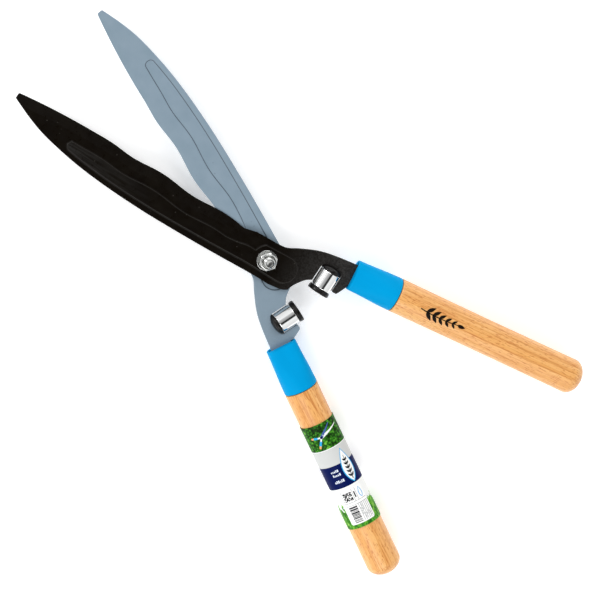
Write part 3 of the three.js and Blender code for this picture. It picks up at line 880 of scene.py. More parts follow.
@dataclass(frozen=True)
class Stamping:
    """Blade, arm and tang pressed from one sheet; z = 0 is its inner face while it is being shaped."""

    half: Half
    first_crest: float  # height of the first crest of the waves above the pivot
    finish: Finish
    slot: str
    reach: float = 235.8  # pivot to the blade's tip
    edge: float = 11.95  # centre line to the middle of the wavy edge
    edge_start: float = 28.0  # where the cutting edge starts
    straight_to: float = 148.0  # where the edge starts to curve towards the tip
    tip_curve: float = 640.0  # radius of that curve
    tip_width: float = 4.7
    tip_round: float = 1.6
    root: float = 15.2  # half-width of the arm beside the pivot
    shoulder: float = 14.2  # half-width of the shoulder before the cutting edge
    shoulder_from: float = 18.5
    wave_height: float = 1.0
    wave_pitch: float = 58.0
    wave_fade: Point = (128.0, 172.0)  # where the waves die out
    bevel_width: float = 8.4
    edge_thickness: float = 0.6  # left at the cutting edge
    bevel_run_in: float = 10.0
    panel_rise: float = 0.9
    panel_slope: float = 1.2  # width of the panel's sloping wall
    panel_ease: float = 0.2  # soft bend beyond the foot and the top of the panel's slope
    panel_end: float = 183.0
    hole: float = 4.3  # radius of the pivot hole
    edge_round: float = 0.35  # on sheared edges
    keen_round: float = 0.12  # on the cutting edge

    def edge_at(self, y: Any) -> Any:
        """Distance from the centre line to the cutting edge."""
        past = np.maximum(0, np.asarray(y, dtype=float) - self.straight_to)
        fade = 1 - smoothstep(y, *self.wave_fade)
        ripple = self.wave_height * fade * np.cos(2 * np.pi * (y - self.first_crest) / self.wave_pitch)
        return self.edge - past**2 / (2 * self.tip_curve) + ripple

    def spine(self) -> list[Point]:
        """Back of the blade, from the tip to the heel."""
        # Shares of the reach, with how far out the back is there.
        shares = [(0.92, 6.2), (0.83, 12.1), (0.67, 17.5), (0.465, 19.4), (0.23, 18)]
        shares += [(0.01, 15.2), (-0.045, 15.1)]
        tip = (float(self.edge_at(self.reach)) - self.tip_width, self.reach)
        return spline([tip] + [(-out, share * self.reach) for share, out in shares], 200)

    def outline(self) -> list[Point]:
        """Outline of the whole stamping, counter-clockwise from the shoulder before the cutting edge."""
        handle = HandleAxis()
        bumper = BumperSizes()
        small, large = 0.12, 0.35
        loop: list[Point] = [(self.shoulder, self.shoulder_from)]
        loop.append((self.shoulder - large, self.shoulder_from + large))
        heights = np.linspace(self.edge_start, self.reach - self.tip_round, 240)
        loop += [(float(x), float(y)) for x, y in zip(self.edge_at(heights), heights)]
        tip = float(self.edge_at(self.reach))
        loop += [(tip - small, self.reach - large), (tip - large, self.reach - small)]
        loop.append((tip - self.tip_round, self.reach))
        spine = self.spine()
        loop += spine
        heel = spline([spine[-1], (-13.2, -22), (-10.6, -27.2)], 24)
        near, far = -bumper.reach + bumper.notch_half, -bumper.reach - bumper.notch_half
        loop += heel[1:]
        loop += spline([heel[-1], (-6.2, -28.6), (-1.7, -31.3), (3, -34.9), (6, near)], 40)[1:]
        corner = 3.0
        loop += arc((bumper.notch_bottom - corner, near - corner), corner, math.pi / 2, 0, 10)
        loop += arc((bumper.notch_bottom - corner, far + corner), corner, 0, -math.pi / 2, 10)
        # The finger below the notch, and then the tang in the handle.
        finger, thick, chamfer, blunt = 6.5, 4.3, 0.6, 0.9
        loop += [(finger + chamfer, far), (finger, far - chamfer)]
        loop += [(finger, far - thick + blunt), (finger + blunt, far - thick)]
        tang = [(-FIT, 10.8), (-FIT, 8.3), (5, 8.3), (9.3, 4.4), (100, 1.2)]
        loop += [handle.beside(along, -across) for along, across in tang]
        loop += [handle.beside(along, across) for along, across in reversed(tang[2:])]
        arm = [handle.beside(0, 8.3), (31.4, -46), (27.8, -32), (21.6, -18.4), (16.5, -9), (self.root, -1)]
        loop += spline(arm, 60)
        return resampled(loop, 2.0)

    def panel(self) -> list[Point]:
        """Outline of the pressed panel at its foot, counter-clockwise from its heel."""
        spine = np.array(self.spine())

        def spine_at(y: Any) -> Any:
            """Distance from the centre line to the back of the blade."""
            return np.interp(y, spine[::-1, 1], spine[::-1, 0])

        def edge_side(y: Any) -> Any:
            """The panel's side along the cutting edge."""
            return self.edge_at(y) - np.interp(y, (0, self.panel_end), (13.0, 13.8))

        def spine_side(y: Any) -> Any:
            """The panel's side along the back."""
            return spine_at(y) + np.interp(y, (0, self.panel_end), (5.4, 3.6))

        around, neck = 12.3, 2.8
        radius = float(edge_side(self.panel_end) - spine_side(self.panel_end)) / 2
        end = self.panel_end - radius
        loop = arc((1, -15.8), 11.2, -math.pi, 0, 60)
        loop += arc((0, 0), around, math.radians(32), math.acos(neck / around), 24)
        up = np.linspace(38, end, 140)
        loop += spline([loop[-1], (neck - 0.1, around + 6), (0.6, 28), (float(edge_side(38)), 38)], 24)[1:]
        loop += [(float(x), float(y)) for x, y in zip(edge_side(up), up)][1:]
        half = float(edge_side(end) - spine_side(end)) / 2
        loop += arc((float(edge_side(end)) - half, end), half, 0, math.pi, 28, radius / half)[1:-1]
        down = np.linspace(end, around, 90)
        loop += [(float(x), float(y)) for x, y in zip(spine_side(down), down)]
        return resampled(loop, 2.0)

    def net(
        self, outline: Sequence[Point], panel: Sequence[Point], rounds: np.ndarray
    ) -> tuple[np.ndarray, np.ndarray]:
        """Flat net of triangles whose edges follow every feature of the stamping.

        Args:
            outline: Outline of the sheet.
            panel: Outline of the panel.
            rounds: Edge radius at each outline point.

        Returns:
            Net points, one to a row, and triangles.
        """
        loops = [list(outline)]
        loops += [inset(outline, rounds * share) for share in (0.15, 0.45, 1.0)]
        slope, ease = self.panel_slope, self.panel_ease
        depths = np.linspace(-ease, slope + ease, 9)
        loops += [inset(panel, np.full(len(panel), depth)) for depth in depths]
        loops.append(arc((0, 0), self.hole, 0, 2 * math.pi, 64)[:-1])
        heights = np.linspace(self.edge_start - self.bevel_run_in + 1.5, self.reach + 0.5, 220)
        edge = self.edge_at(np.minimum(heights, self.reach))
        lines = [list(zip(edge - self.bevel_width + off, heights)) for off in (-0.3, 0, 0.3)]
        points: list[Vector] = []
        edges: list[tuple[int, int]] = []
        for loop, closed in [(x, True) for x in loops] + [(x, False) for x in lines]:
            first = len(points)
            points += [Vector((float(x), float(y))) for x, y in loop]
            edges += [(first + i, first + i + 1) for i in range(len(loop) - 1)]
            if closed:
                edges.append((len(points) - 1, first))
        # A finer grid of points where the bevel runs in.
        grid = 1.6
        for y in np.arange(self.edge_start - self.bevel_run_in, self.edge_start + self.bevel_run_in, grid):
            points += [Vector((x, y)) for x in np.arange(4.5, 14, grid)]
        found = delaunay_2d_cdt(points, edges, [], 0, 1e-5)
        net = np.array([tuple(p) for p in found[0]])
        triangles = np.array([tuple(f) for f in found[2]])
        centres = net[triangles].mean(axis=1)
        inside, _ = distance_to(centres, outline)
        kept = (inside > 0) & (np.hypot(*centres.T) > self.hole * 0.999)
        return net, triangles[kept]

    def mesh(self) -> Mesh:
        """The stamping with its pressed panel, ground bevel, rounded edges and pivot hole."""
        outline, panel = self.outline(), self.panel()
        around = np.array(outline)
        keen = (around[:, 1] > self.edge_start - 2) & (around[:, 1] < self.reach - 2) & (around[:, 0] > 3)
        rounds = np.where(keen, self.keen_round, self.edge_round)
        net, triangles = self.net(outline, panel, rounds)
        x, y = net.T
        into_panel, _ = distance_to(net, panel)
        into_sheet, nearest = distance_to(net, outline)
        ease = self.panel_ease
        pressed = self.panel_rise * smoothstep(into_panel, -ease, self.panel_slope + ease)
        radius = rounds[nearest]
        lost = np.clip(radius - np.maximum(into_sheet, 0), 0, None)
        rounding = radius - np.sqrt(np.maximum(radius**2 - lost**2, 0))
        run_in = smoothstep(y, self.edge_start - self.bevel_run_in, self.edge_start + self.bevel_run_in)
        across = 1 - (self.edge_at(np.minimum(y, self.reach)) - x) / self.bevel_width
        ground = np.clip(across, 0, 1) * run_in * (SHEET - self.edge_thickness)
        top = SHEET - ground + pressed - rounding - SHEET / 2
        bottom = pressed + rounding - SHEET / 2
        count = len(net)
        vertices = [Vector((a, b, c)) for a, b, c in zip(x, y, top)]
        vertices += [Vector((a, b, c)) for a, b, c in zip(x, y, bottom)]
        faces = [tuple(int(i) for i in t) for t in triangles]
        sides = {(a, b) for f in faces for a, b in zip(f, f[1:] + f[:1])}
        walls = [(a, b) for a, b in sides if (b, a) not in sides]
        faces += [tuple(i + count for i in reversed(f)) for f in faces]
        faces += [(a + count, b + count, b, a) for a, b in sorted(walls)]
        return vertices, faces

    def build(self) -> None:
        """Makes the stamping and dresses it in its coating."""
        piece = self.half.piece("blade", self.slot)
        even_faces(piece.build(self.mesh(), [self.finish], self.half.place()))


# ---- Bumpers ------------------------------------------------------------------------------------


@dataclass(frozen=True)
class BumperSizes:
    """Sizes that the bumper and the notch in the sheet share."""

    reach: float = 48.3  # pivot to the bumper's axis
    sleeve_radius: float = 8.4
    bore: float = 5.6
    sleeve_length: float = 14.2
    pad_radius: float = 8.9
    pad_thickness: float = 3.7
    face_gap: float = 0.15  # centre line to the pad's face when the shears are closed
    seat_radius: float = 8.6
    rim: float = 1.1
    dome: float = 3.7  # height of the seat's dome
    notch_past: float = 1.8  # from the seat's rim to the bottom of the notch
    notch_gap: float = 0.8  # sleeve to each side of the notch

    @property
    def sleeve_from(self) -> float:
        """Where the chrome sleeve starts along the bumper's axis."""
        return self.face_gap + self.pad_thickness + FIT

    @property
    def seat_from(self) -> float:
        """Where the rubber seat's rim starts."""
        return self.sleeve_from + self.sleeve_length + FIT

    @property
    def notch_bottom(self) -> float:
        """Bottom of the notch in the sheet."""
        return self.seat_from + self.rim + self.notch_past

    @property
    def notch_half(self) -> float:
        """Half the notch's width."""
        return self.sleeve_radius + self.notch_gap


@dataclass(frozen=True)
class Bumper:
    """Rubber pad, chromed sleeve and domed rubber seat on one axis in the middle of the sheet."""

    half: Half
    sizes: BumperSizes = BumperSizes()

    def place(self) -> Matrix:
        """From a frame with the bumper's axis along Y to the row frame."""
        move = Matrix.Translation((0, -self.sizes.reach * MM, 0)) @ Matrix.Rotation(-math.pi / 2, 4, "Z")
        return self.half.place() @ move

    def pad(self) -> None:
        """Buffer face with a soft rim, a shallow ring and a stem in the sleeve."""
        s = self.sizes
        back, stem = s.face_gap + s.pad_thickness, s.bore - FIT
        stem_end = s.sleeve_from + s.sleeve_length * 0.55
        dish, step = 0.25, 0.35
        corners = [
            (NEAR_AXIS, s.face_gap + dish),
            (5.2, s.face_gap + dish),
            (5.9, s.face_gap),
            (s.pad_radius, s.face_gap),
            (s.pad_radius, back - 1.1),
            (s.pad_radius - step, back - 0.75),
            (s.pad_radius - step, back),
            (stem, back),
            (stem, stem_end),
            (NEAR_AXIS, stem_end),
        ]
        mesh = turned(rounded(corners, 0.8, 5), SMALL)
        self.half.piece("bumper_pad", "bumper_rubber", Shade.SOFT).build(mesh, [RUBBER], self.place())

    def sleeve(self) -> None:
        """Chromed tube with rolled edges."""
        s = self.sizes
        rolled = 0.45
        mesh = tube(s.bore, s.sleeve_radius, s.sleeve_from, s.sleeve_from + s.sleeve_length, rolled, SMALL)
        even_faces(self.half.piece("bumper_sleeve", "bumper_chrome").build(mesh, [CHROME], self.place()))

    def seat(self) -> None:
        """Domed seat with a rim, a spigot in the sleeve and a slot over the bottom of the notch."""
        s = self.sizes
        spigot, dome_from = s.bore - FIT, s.seat_from + s.rim
        front = s.sleeve_from + s.sleeve_length * 0.6
        corners = [(NEAR_AXIS, front), (spigot, front), (spigot, s.seat_from), (s.seat_radius, s.seat_from)]
        line = rounded(corners + [(s.seat_radius, dome_from)], 0.3, 3)
        dome = arc((0, 0), s.seat_radius, 0.03, 1.54, 22, s.dome / s.seat_radius)
        line += [(r, dome_from + h) for r, h in dome]
        seat = self.half.piece("bumper_seat", "bumper_rubber", Shade.SOFT).build(
            turned(line, SMALL), [RUBBER], self.place()
        )
        wide, slot = s.notch_half, SHEET / 2 + FIT
        cut_block(seat, (-wide, dome_from, -slot), (wide, dome_from + s.dome + 1, slot), self.place())

    def build(self) -> None:
        """Makes the three pieces of the bumper."""
        self.pad()
        self.sleeve()
        self.seat()


# ---- Handles ------------------------------------------------------------------------------------


@dataclass(frozen=True)
class HandleAxis:
    """Axis of the ferrule and the wooden handle in a half's drawing frame."""

    mouth: Point = (26.1, -64.2)  # middle of the ferrule's mouth
    splay: float = math.radians(7.3)  # between the handle and the centre line when closed

    def beside(self, along: float, across: float) -> Point:
        """Point at a distance along the axis from the ferrule's mouth, and across it."""
        s, c = math.sin(self.splay), math.cos(self.splay)
        return self.mouth[0] + along * s + across * c, self.mouth[1] - along * c + across * s

    def place(self, half: Half) -> Matrix:
        """From a frame with its origin at the mouth and Y along the handle to the row frame."""
        move = Matrix.Translation((self.mouth[0] * MM, self.mouth[1] * MM, 0))
        return half.place() @ move @ Matrix.Rotation(math.pi + self.splay, 4, "Z")


@dataclass(frozen=True)
class Handle:
    """Blue ferrule and turned beech handle of one half."""

    half: Half
    beech: Finish
    radius: float = 13.4
    ferrule_length: float = 37.5
    mouth_width: float = 24.1
    mouth_height: float = 15.0
    mouth_squareness: float = 3.6
    wall: float = 2.9
    floor: float = 9.0  # thickness of plastic round the tang before the bore
    slot_width: float = 20.8
    slot_air: float = 0.6  # between the slot and the sheet, on each side
    wood_length: float = 162.4  # beyond the ferrule
    end_depth: float = 10.0  # of the domed end
    waist: float = 0.25  # how much slimmer the middle of the wood is
    nose_radius: float = 5.0
    nose_length: float = 17.0  # of the cone at the end of the stub

    def section(self, y: float, width: float, height: float, squareness: float) -> list[Vector]:
        """Rounded cross-section; squareness 2 is an ellipse and more is squarer."""
        ring = []
        power = 2 / squareness
        for i in range(ROUND):
            c, n = math.cos(2 * math.pi * i / ROUND), math.sin(2 * math.pi * i / ROUND)
            x = width / 2 * math.copysign(abs(c) ** power, c)
            z = height / 2 * math.copysign(abs(n) ** power, n)
            ring.append(Vector((x, y, -z)))
        return ring

    def ferrule(self) -> None:
        """Socket from a flattened mouth to a round end, with a slot, rolled lips and a stepped bore."""
        rings = []
        slot_height = SHEET + 2 * self.slot_air
        for y, grow in ((self.floor - 0.4, 0), (0.9, 0), (0.35, 0.25), (0, 0.9)):
            rings.append(self.section(y, self.slot_width + grow, slot_height + grow, 9))
        stations = 60
        lip = 0.9
        for i in range(stations + 1):
            share = i / stations
            y = share * self.ferrule_length
            blend = float(smoothstep(share, 0, 1))
            width = self.mouth_width + (2 * self.radius - self.mouth_width) * blend
            height = self.mouth_height + (2 * self.radius - self.mouth_height) * blend
            squareness = self.mouth_squareness + (2 - self.mouth_squareness) * blend
            from_end = min(y, self.ferrule_length - y)
            shrink = 0.0
            if from_end < lip:
                shrink = lip - math.sqrt(lip**2 - (lip - from_end) ** 2)
            rings.append(self.section(y, width - 2 * shrink, height - 2 * shrink, squareness))
        bore = 2 * (self.radius - self.wall)
        inside = [(self.ferrule_length - 0.02, bore + 0.4), (self.ferrule_length - 0.5, bore)]
        inside += [(self.floor + self.nose_length, bore), (self.floor, 2 * self.nose_radius + 2 * FIT)]
        rings += [self.section(y, across, across, 2) for y, across in inside]
        piece = self.half.piece("ferrule", "ferrule_plastic", Shade.SOFT)
        even_faces(piece.build(loft(rings), [BLUE], HandleAxis().place(self.half)))

    def wood(self) -> None:
        """Beech handle with a stub in the ferrule, a slight waist and a domed end."""
        stub = self.radius - self.wall - FIT
        grip_from, end = self.ferrule_length + FIT, self.ferrule_length + self.wood_length
        dome_from = end - self.end_depth
        line = [(0.5, self.floor + FIT), (self.nose_radius, self.floor + FIT)]
        line += [(stub, self.floor + FIT + self.nose_length), (stub, grip_from)]
        steps = 40
        line += [(self.radius - 0.35, grip_from), (self.radius - 0.1, grip_from + 0.12)]
        for i in range(steps + 1):
            share = i / steps
            y = grip_from + 0.45 + (dome_from - grip_from - 0.45) * share
            line.append((self.radius - self.waist * math.sin(math.pi * share), y))
        dome = arc((0, 0), self.radius, 0.04, 1.55, 30, self.end_depth / self.radius)
        line += [(r, dome_from + h) for r, h in dome]
        place = HandleAxis().place(self.half)
        mesh = turned(line, ROUND)
        self.half.piece("handle", "handle_wood", Shade.SOFT).build(mesh, [self.beech], place)

    def build(self) -> None:
        """Makes the ferrule and the handle."""
        self.ferrule()
        self.wood()


# ---- Printing -----------------------------------------------------------------------------------


class Printing:
    """Flat shapes printed on a round handle, wrapped round its axis a hair above the surface.

    A place is given as u, millimetres along the handle from the ferrule's mouth, and v, millimetres round
    it from the middle of the side that faces up.
    """

    def __init__(self, radius: float, up: int) -> None:
        """Starts with nothing printed.

        Args:
            radius: Radius of the surface.
            up: Sign of the frame's z on the side that faces up.
        """
        self.radius = radius
        self.up = up
        self.vertices: list[Vector] = []
        self.faces: list[tuple[int, ...]] = []
        self.inks: list[Finish] = []
        self.slots: list[int] = []

    def ribbon(self, pairs: Sequence[tuple[Point, Point]], ink: Finish, lift: float = 0.05) -> None:
        """Prints a strip.

        Args:
            pairs: Points on the strip's two sides, in order along it.
            ink: Its ink.
            lift: Millimetres above the surface; later layers lie higher.
        """
        if ink not in self.inks:
            self.inks.append(ink)
        widest = max(math.dist(a, b) for a, b in pairs)
        parts = max(1, math.ceil(widest / 0.8))
        first = len(self.vertices)
        radius = self.radius + lift
        for a, b in pairs:
            for k in range(parts + 1):
                share = k / parts
                u, v = a[0] + (b[0] - a[0]) * share, a[1] + (b[1] - a[1]) * share
                turn = v / self.radius
                across, height = radius * math.sin(turn), self.up * radius * math.cos(turn)
                self.vertices.append(Vector((across, u, height)))
        row = parts + 1
        for i in range(len(pairs) - 1):
            for k in range(parts):
                here = first + i * row + k
                face = [here, here + 1, here + row + 1, here + row]
                a, b, c = (self.vertices[j] for j in face[:3])
                outward = (b - a).cross(c - a).dot(Vector((a.x, 0, a.z)))
                self.faces.append(tuple(face if outward > 0 else reversed(face)))
                self.slots.append(self.inks.index(ink))

    def bar(self, u: Point, v: Point, ink: Finish, lift: float = 0.05) -> None:
        """Prints a rectangle between two u and two v."""
        steps = max(1, math.ceil(abs(u[1] - u[0]) / 4))
        marks = [u[0] + (u[1] - u[0]) * i / steps for i in range(steps + 1)]
        self.ribbon([((m, v[0]), (m, v[1])) for m in marks], ink, lift)

    def disc(self, centre: Point, radius: float, ink: Finish, lift: float = 0.05) -> None:
        """Prints a disc."""
        pinhole = 0.01
        rims = [arc(centre, around, 0, 2 * math.pi, 48) for around in (pinhole, radius)]
        self.ribbon(list(zip(*rims)), ink, lift)

    def strip(self, start: Point, end: Point, widths: Point, ink: Finish, lift: float) -> None:
        """Prints a straight strip that tapers from its start to its end."""
        steps = 8
        along = (Vector(end) - Vector(start)) / steps
        side = Vector((-along.y, along.x)).normalized()
        pairs = []
        for i in range(steps + 1):
            middle = Vector(start) + along * i
            out = side * ((widths[0] + (widths[1] - widths[0]) * i / steps) / 2)
            pairs.append((tuple(middle - out), tuple(middle + out)))
        self.ribbon(pairs, ink, lift)

    def leaf(
        self, root: Point, turn: float, length: float, width: float, ink: Finish, lift: float = 0.05
    ) -> None:
        """Prints a pointed leaf that grows from its root at an angle from +u, in degrees."""
        c, s = math.cos(math.radians(turn)), math.sin(math.radians(turn))
        pairs = []
        for i in range(13):
            share = i / 12
            half = width / 2 * math.sin(math.pi * share**0.8) + 0.02
            u, v = root[0] + c * length * share, root[1] + s * length * share
            pairs.append(((u - s * half, v + c * half), (u + s * half, v - c * half)))
        self.ribbon(pairs, ink, lift)

    def build(self, piece: Piece, place: Matrix) -> None:
        """Makes all that was printed as one piece."""
        thing = piece.build((self.vertices, self.faces), self.inks, place)
        for polygon, slot in zip(thing.data.polygons, self.slots):
            polygon.material_index = slot


@dataclass(frozen=True)
class WoodStamp:
    """Plain leaf sprig stamped in black on the front handle."""

    half: Half
    surface: float = 13.33  # radius that it is printed on
    centre: float = 76.0  # from the ferrule's mouth
    length: float = 38.0

    def build(self) -> None:
        """Prints a curved stem with paired leaves."""
        printing = Printing(self.surface, 1)
        start, end = self.centre - self.length / 2, self.centre + self.length / 2

        def stem(share: float) -> Point:
            """Point on the bent stem."""
            return start + (end - start) * share * 0.86, 1.1 * math.sin(math.pi * share)

        sides = []
        for i in range(25):
            u, v = stem(i / 24)
            half = 0.5 - 0.2 * i / 24
            sides.append(((u, v - half), (u, v + half)))
        printing.ribbon(sides, STAMP_BLACK)
        pairs = 5
        for i in range(pairs):
            root = stem(0.16 + 0.17 * i)
            size = 1 - 0.1 * i
            for turn in (42, -42):
                printing.leaf(root, turn, 8.2 * size, 3.1 * size, STAMP_BLACK)
        printing.leaf(stem(0.98), 0, 6.6, 2.8, STAMP_BLACK)
        piece = Piece("front_handle_stamp", self.half.body, "handle_wood")
        printing.build(piece, HandleAxis().place(self.half))


@dataclass(frozen=True)
class Label:
    """Printed paper label wrapped round the rear handle, and the white code sticker on it."""

    half: Half
    start: float = 65.8  # from the ferrule's mouth
    length: float = 89.0
    inner: float = 13.5  # radius
    outer: float = 13.75
    hedge_to: float = 87.0  # where each band ends, from the ferrule's mouth
    grey_to: float = 101.2
    navy_to: float = 120.2
    sticker_from: float = 122.5
    sticker_length: float = 29.0
    sticker_inner: float = 13.85
    sticker_outer: float = 14.05
    sticker_corner: float = 1.2
    sticker_arc: float = math.radians(86)
    sticker_turn: float = math.radians(-6)  # sticker's middle from the middle of the side that faces up

    def paper(self) -> None:
        """Paper tube in bands: hedge picture, light grey, navy, and white with grass at the bottom."""
        end = self.start + self.length
        bands = [self.start, self.hedge_to, self.hedge_to + 0.5, self.grey_to, self.navy_to]
        marks = sorted(set(bands + list(np.linspace(self.navy_to + 0.01, end, 10))))
        profile = [(self.inner, self.start)] + [(self.outer, m) for m in marks] + [(self.inner, end)]
        finishes = [HedgePrint("hedge_print"), WHITE_PAPER, GREY_PAPER, NAVY, GrassPrint("grass_print")]

        def pick(centre: Vector) -> int:
            """Band that a face lies in."""
            return sum(centre.y > limit for limit in bands[1:])

        mesh = turned(profile, ROUND, joined=True)
        piece = Piece("paper_label_fine", self.half.body, "label_paper", "paper_label")
        even_faces(piece.build(mesh, finishes, HandleAxis().place(self.half), pick))

    @staticmethod
    def small_shears(printing: Printing, centre: Point) -> None:
        """Small open shears on the hedge: two blades that cross, blue sockets and wooden grips."""
        blades = (((67.8, 6.4), STEEL_INK), ((71.2, 12.6), WHITE_PAPER))
        for tip, ink in blades:
            printing.strip(centre, tip, (2.4, 0.5), ink, 0.09)
        for far in ((75.6, -12.2), (84.8, -8.2)):
            handle = Vector(far) - Vector(centre)
            socket, grip = tuple(handle * 0.35 + Vector(centre)), tuple(handle * 0.75 + Vector(centre))
            printing.strip(centre, socket, (1.5, 1.1), WHITE_PAPER, 0.07)
            printing.strip(socket, grip, (1.7, 1.7), SKY_INK, 0.07)
            printing.strip(grip, far, (1.6, 1.6), GRIP_INK, 0.07)
        printing.disc(centre, 1.1, NAVY, 0.12)

    @staticmethod
    def blocks(printing: Printing, draw: random.Random, u: Point, v: Point, ink: Finish) -> None:
        """Prints a row of small blocks across the label, which stands for a line of type."""
        spot = v[0]
        while spot < v[1] - 0.6:
            wide = draw.uniform(0.7, 1.3)
            inset_by = draw.choice((0.0, 0.0, 0.35)) * (u[1] - u[0])
            printing.bar((u[0] + inset_by, u[1]), (spot, min(spot + wide, v[1])), ink)
            spot += wide + 0.4

    def print_front(self) -> None:
        """Small shears, a leaf badge and pale lines of print on the navy band."""
        printing = Printing(self.outer, -1)
        self.small_shears(printing, (76.5, -3.6))
        root = self.navy_to - 0.6
        printing.leaf((root, 5.7), 180, 29.5, 10.4, SKY_INK, 0.05)
        printing.leaf((root - 1.1, 5.7), 180, 27.3, 8.8, WHITE_PAPER, 0.09)
        printing.strip((root - 3, 5.7), (root - 23, 5.7), (0.7, 0.35), DARK_INK, 0.13)
        for i in range(5):
            vein = (root - 5 - 3.4 * i, 5.7)
            for side in (1, -1):
                printing.leaf(vein, 180 + side * 44, 3.9 - 0.25 * i, 1.5, DARK_INK, 0.13)
        draw = random.Random(3)
        rows = ((3.6, 2.0, -9.0, -2.4), (6.9, 2.0, -8.6, -1.8), (12.2, 2.3, -9.4, -1.4))
        for down, tall, low, high in rows:
            u = self.grey_to + down
            self.blocks(printing, draw, (u, u + tall), (low, high), PALE_INK)
        piece = Piece("paper_label_print", self.half.body, "label_paper")
        printing.build(piece, HandleAxis().place(self.half))

    def sticker(self) -> None:
        """Curved white patch with slightly rounded corners."""
        rings = []
        middle = self.sticker_from + self.sticker_length / 2
        steps = 24
        for i in range(steps + 1):
            share = i / steps
            turn = self.sticker_turn + self.sticker_arc * (share - 0.5)
            from_side = min(share, 1 - share) * self.sticker_arc * self.sticker_outer
            blunt = max(0.0, 1 - from_side / self.sticker_corner)
            half = self.sticker_length / 2 - self.sticker_corner * (1 - math.sqrt(1 - blunt**2))
            inner, outer = self.sticker_inner, self.sticker_outer
            corners = [(inner, -half), (outer, -half), (outer, half), (inner, half)]
            side, up = math.sin(turn), -math.cos(turn)
            rings.append([Vector((r * side, middle + u, r * up)) for r, u in corners])
        piece = Piece("code_sticker_fine", self.half.body, "sticker_paper", "code_sticker")
        piece.build(loft(rings), [STICKER], HandleAxis().place(self.half))

    def print_sticker(self) -> None:
        """Block of random squares, a stack of bars, ruled lines and a leaf; none of it can be read."""
        draw = random.Random(7)
        printing = Printing(self.sticker_outer, -1)
        top = self.sticker_from
        for v in (-9.3, -0.4, 2.4):
            printing.bar((top + 0.8, top + 11), (v - 0.12, v + 0.12), FAINT_INK)
        for u in (11.0, 13.4):
            printing.bar((top + u, top + u + 0.25), (-9.3, 8.6), FAINT_INK)
        cells, cell = 11, 0.64
        for row in range(cells):
            for column in range(cells):
                corner = row in (0, cells - 1) and column in (0, cells - 1)
                if corner or draw.random() < 0.6:
                    u, v = top + 2.6 + cell * row, -8.4 + cell * column
                    printing.bar((u, u + cell), (v, v + cell), DARK_INK)
        u, end = top + 14.6, top + 28
        while u < end:
            thick = draw.choice((0.4, 0.6, 0.9, 1.3))
            printing.bar((u, min(u + thick, end)), (-8.0, -1.4), DARK_INK)
            u += thick + draw.choice((0.35, 0.5, 0.7))
        for column in range(6):
            v = 0.1 + 1.5 * column
            printing.bar((top + 13.4, end), (v, v + 0.28), FAINT_INK)
            u = top + 14
            while u < end - 0.5:
                dash = draw.uniform(0.8, 2.6)
                if draw.random() < 0.35:
                    printing.bar((u, min(u + dash, end)), (v + 0.65, v + 0.95), FAINT_INK)
                u += dash + 0.7
        printing.leaf((top + 10.2, 5.8), 180, 9.0, 3.2, SKY_INK, 0.05)
        printing.leaf((top + 9.6, 5.8), 180, 7.8, 2.0, STICKER, 0.08)
        printing.bar((top + 3.2, top + 8.4), (0.5, 1.5), DARK_INK)
        piece = Piece("code_sticker_print", self.half.body, "sticker_paper")
        printing.build(piece, HandleAxis().place(self.half))

    def build(self) -> None:
        """Makes the label, the sticker and their print."""
        self.paper()
        self.print_front()
        self.sticker()
        self.print_sticker()


# ---- Pivot --------------------------------------------------------------------------------------


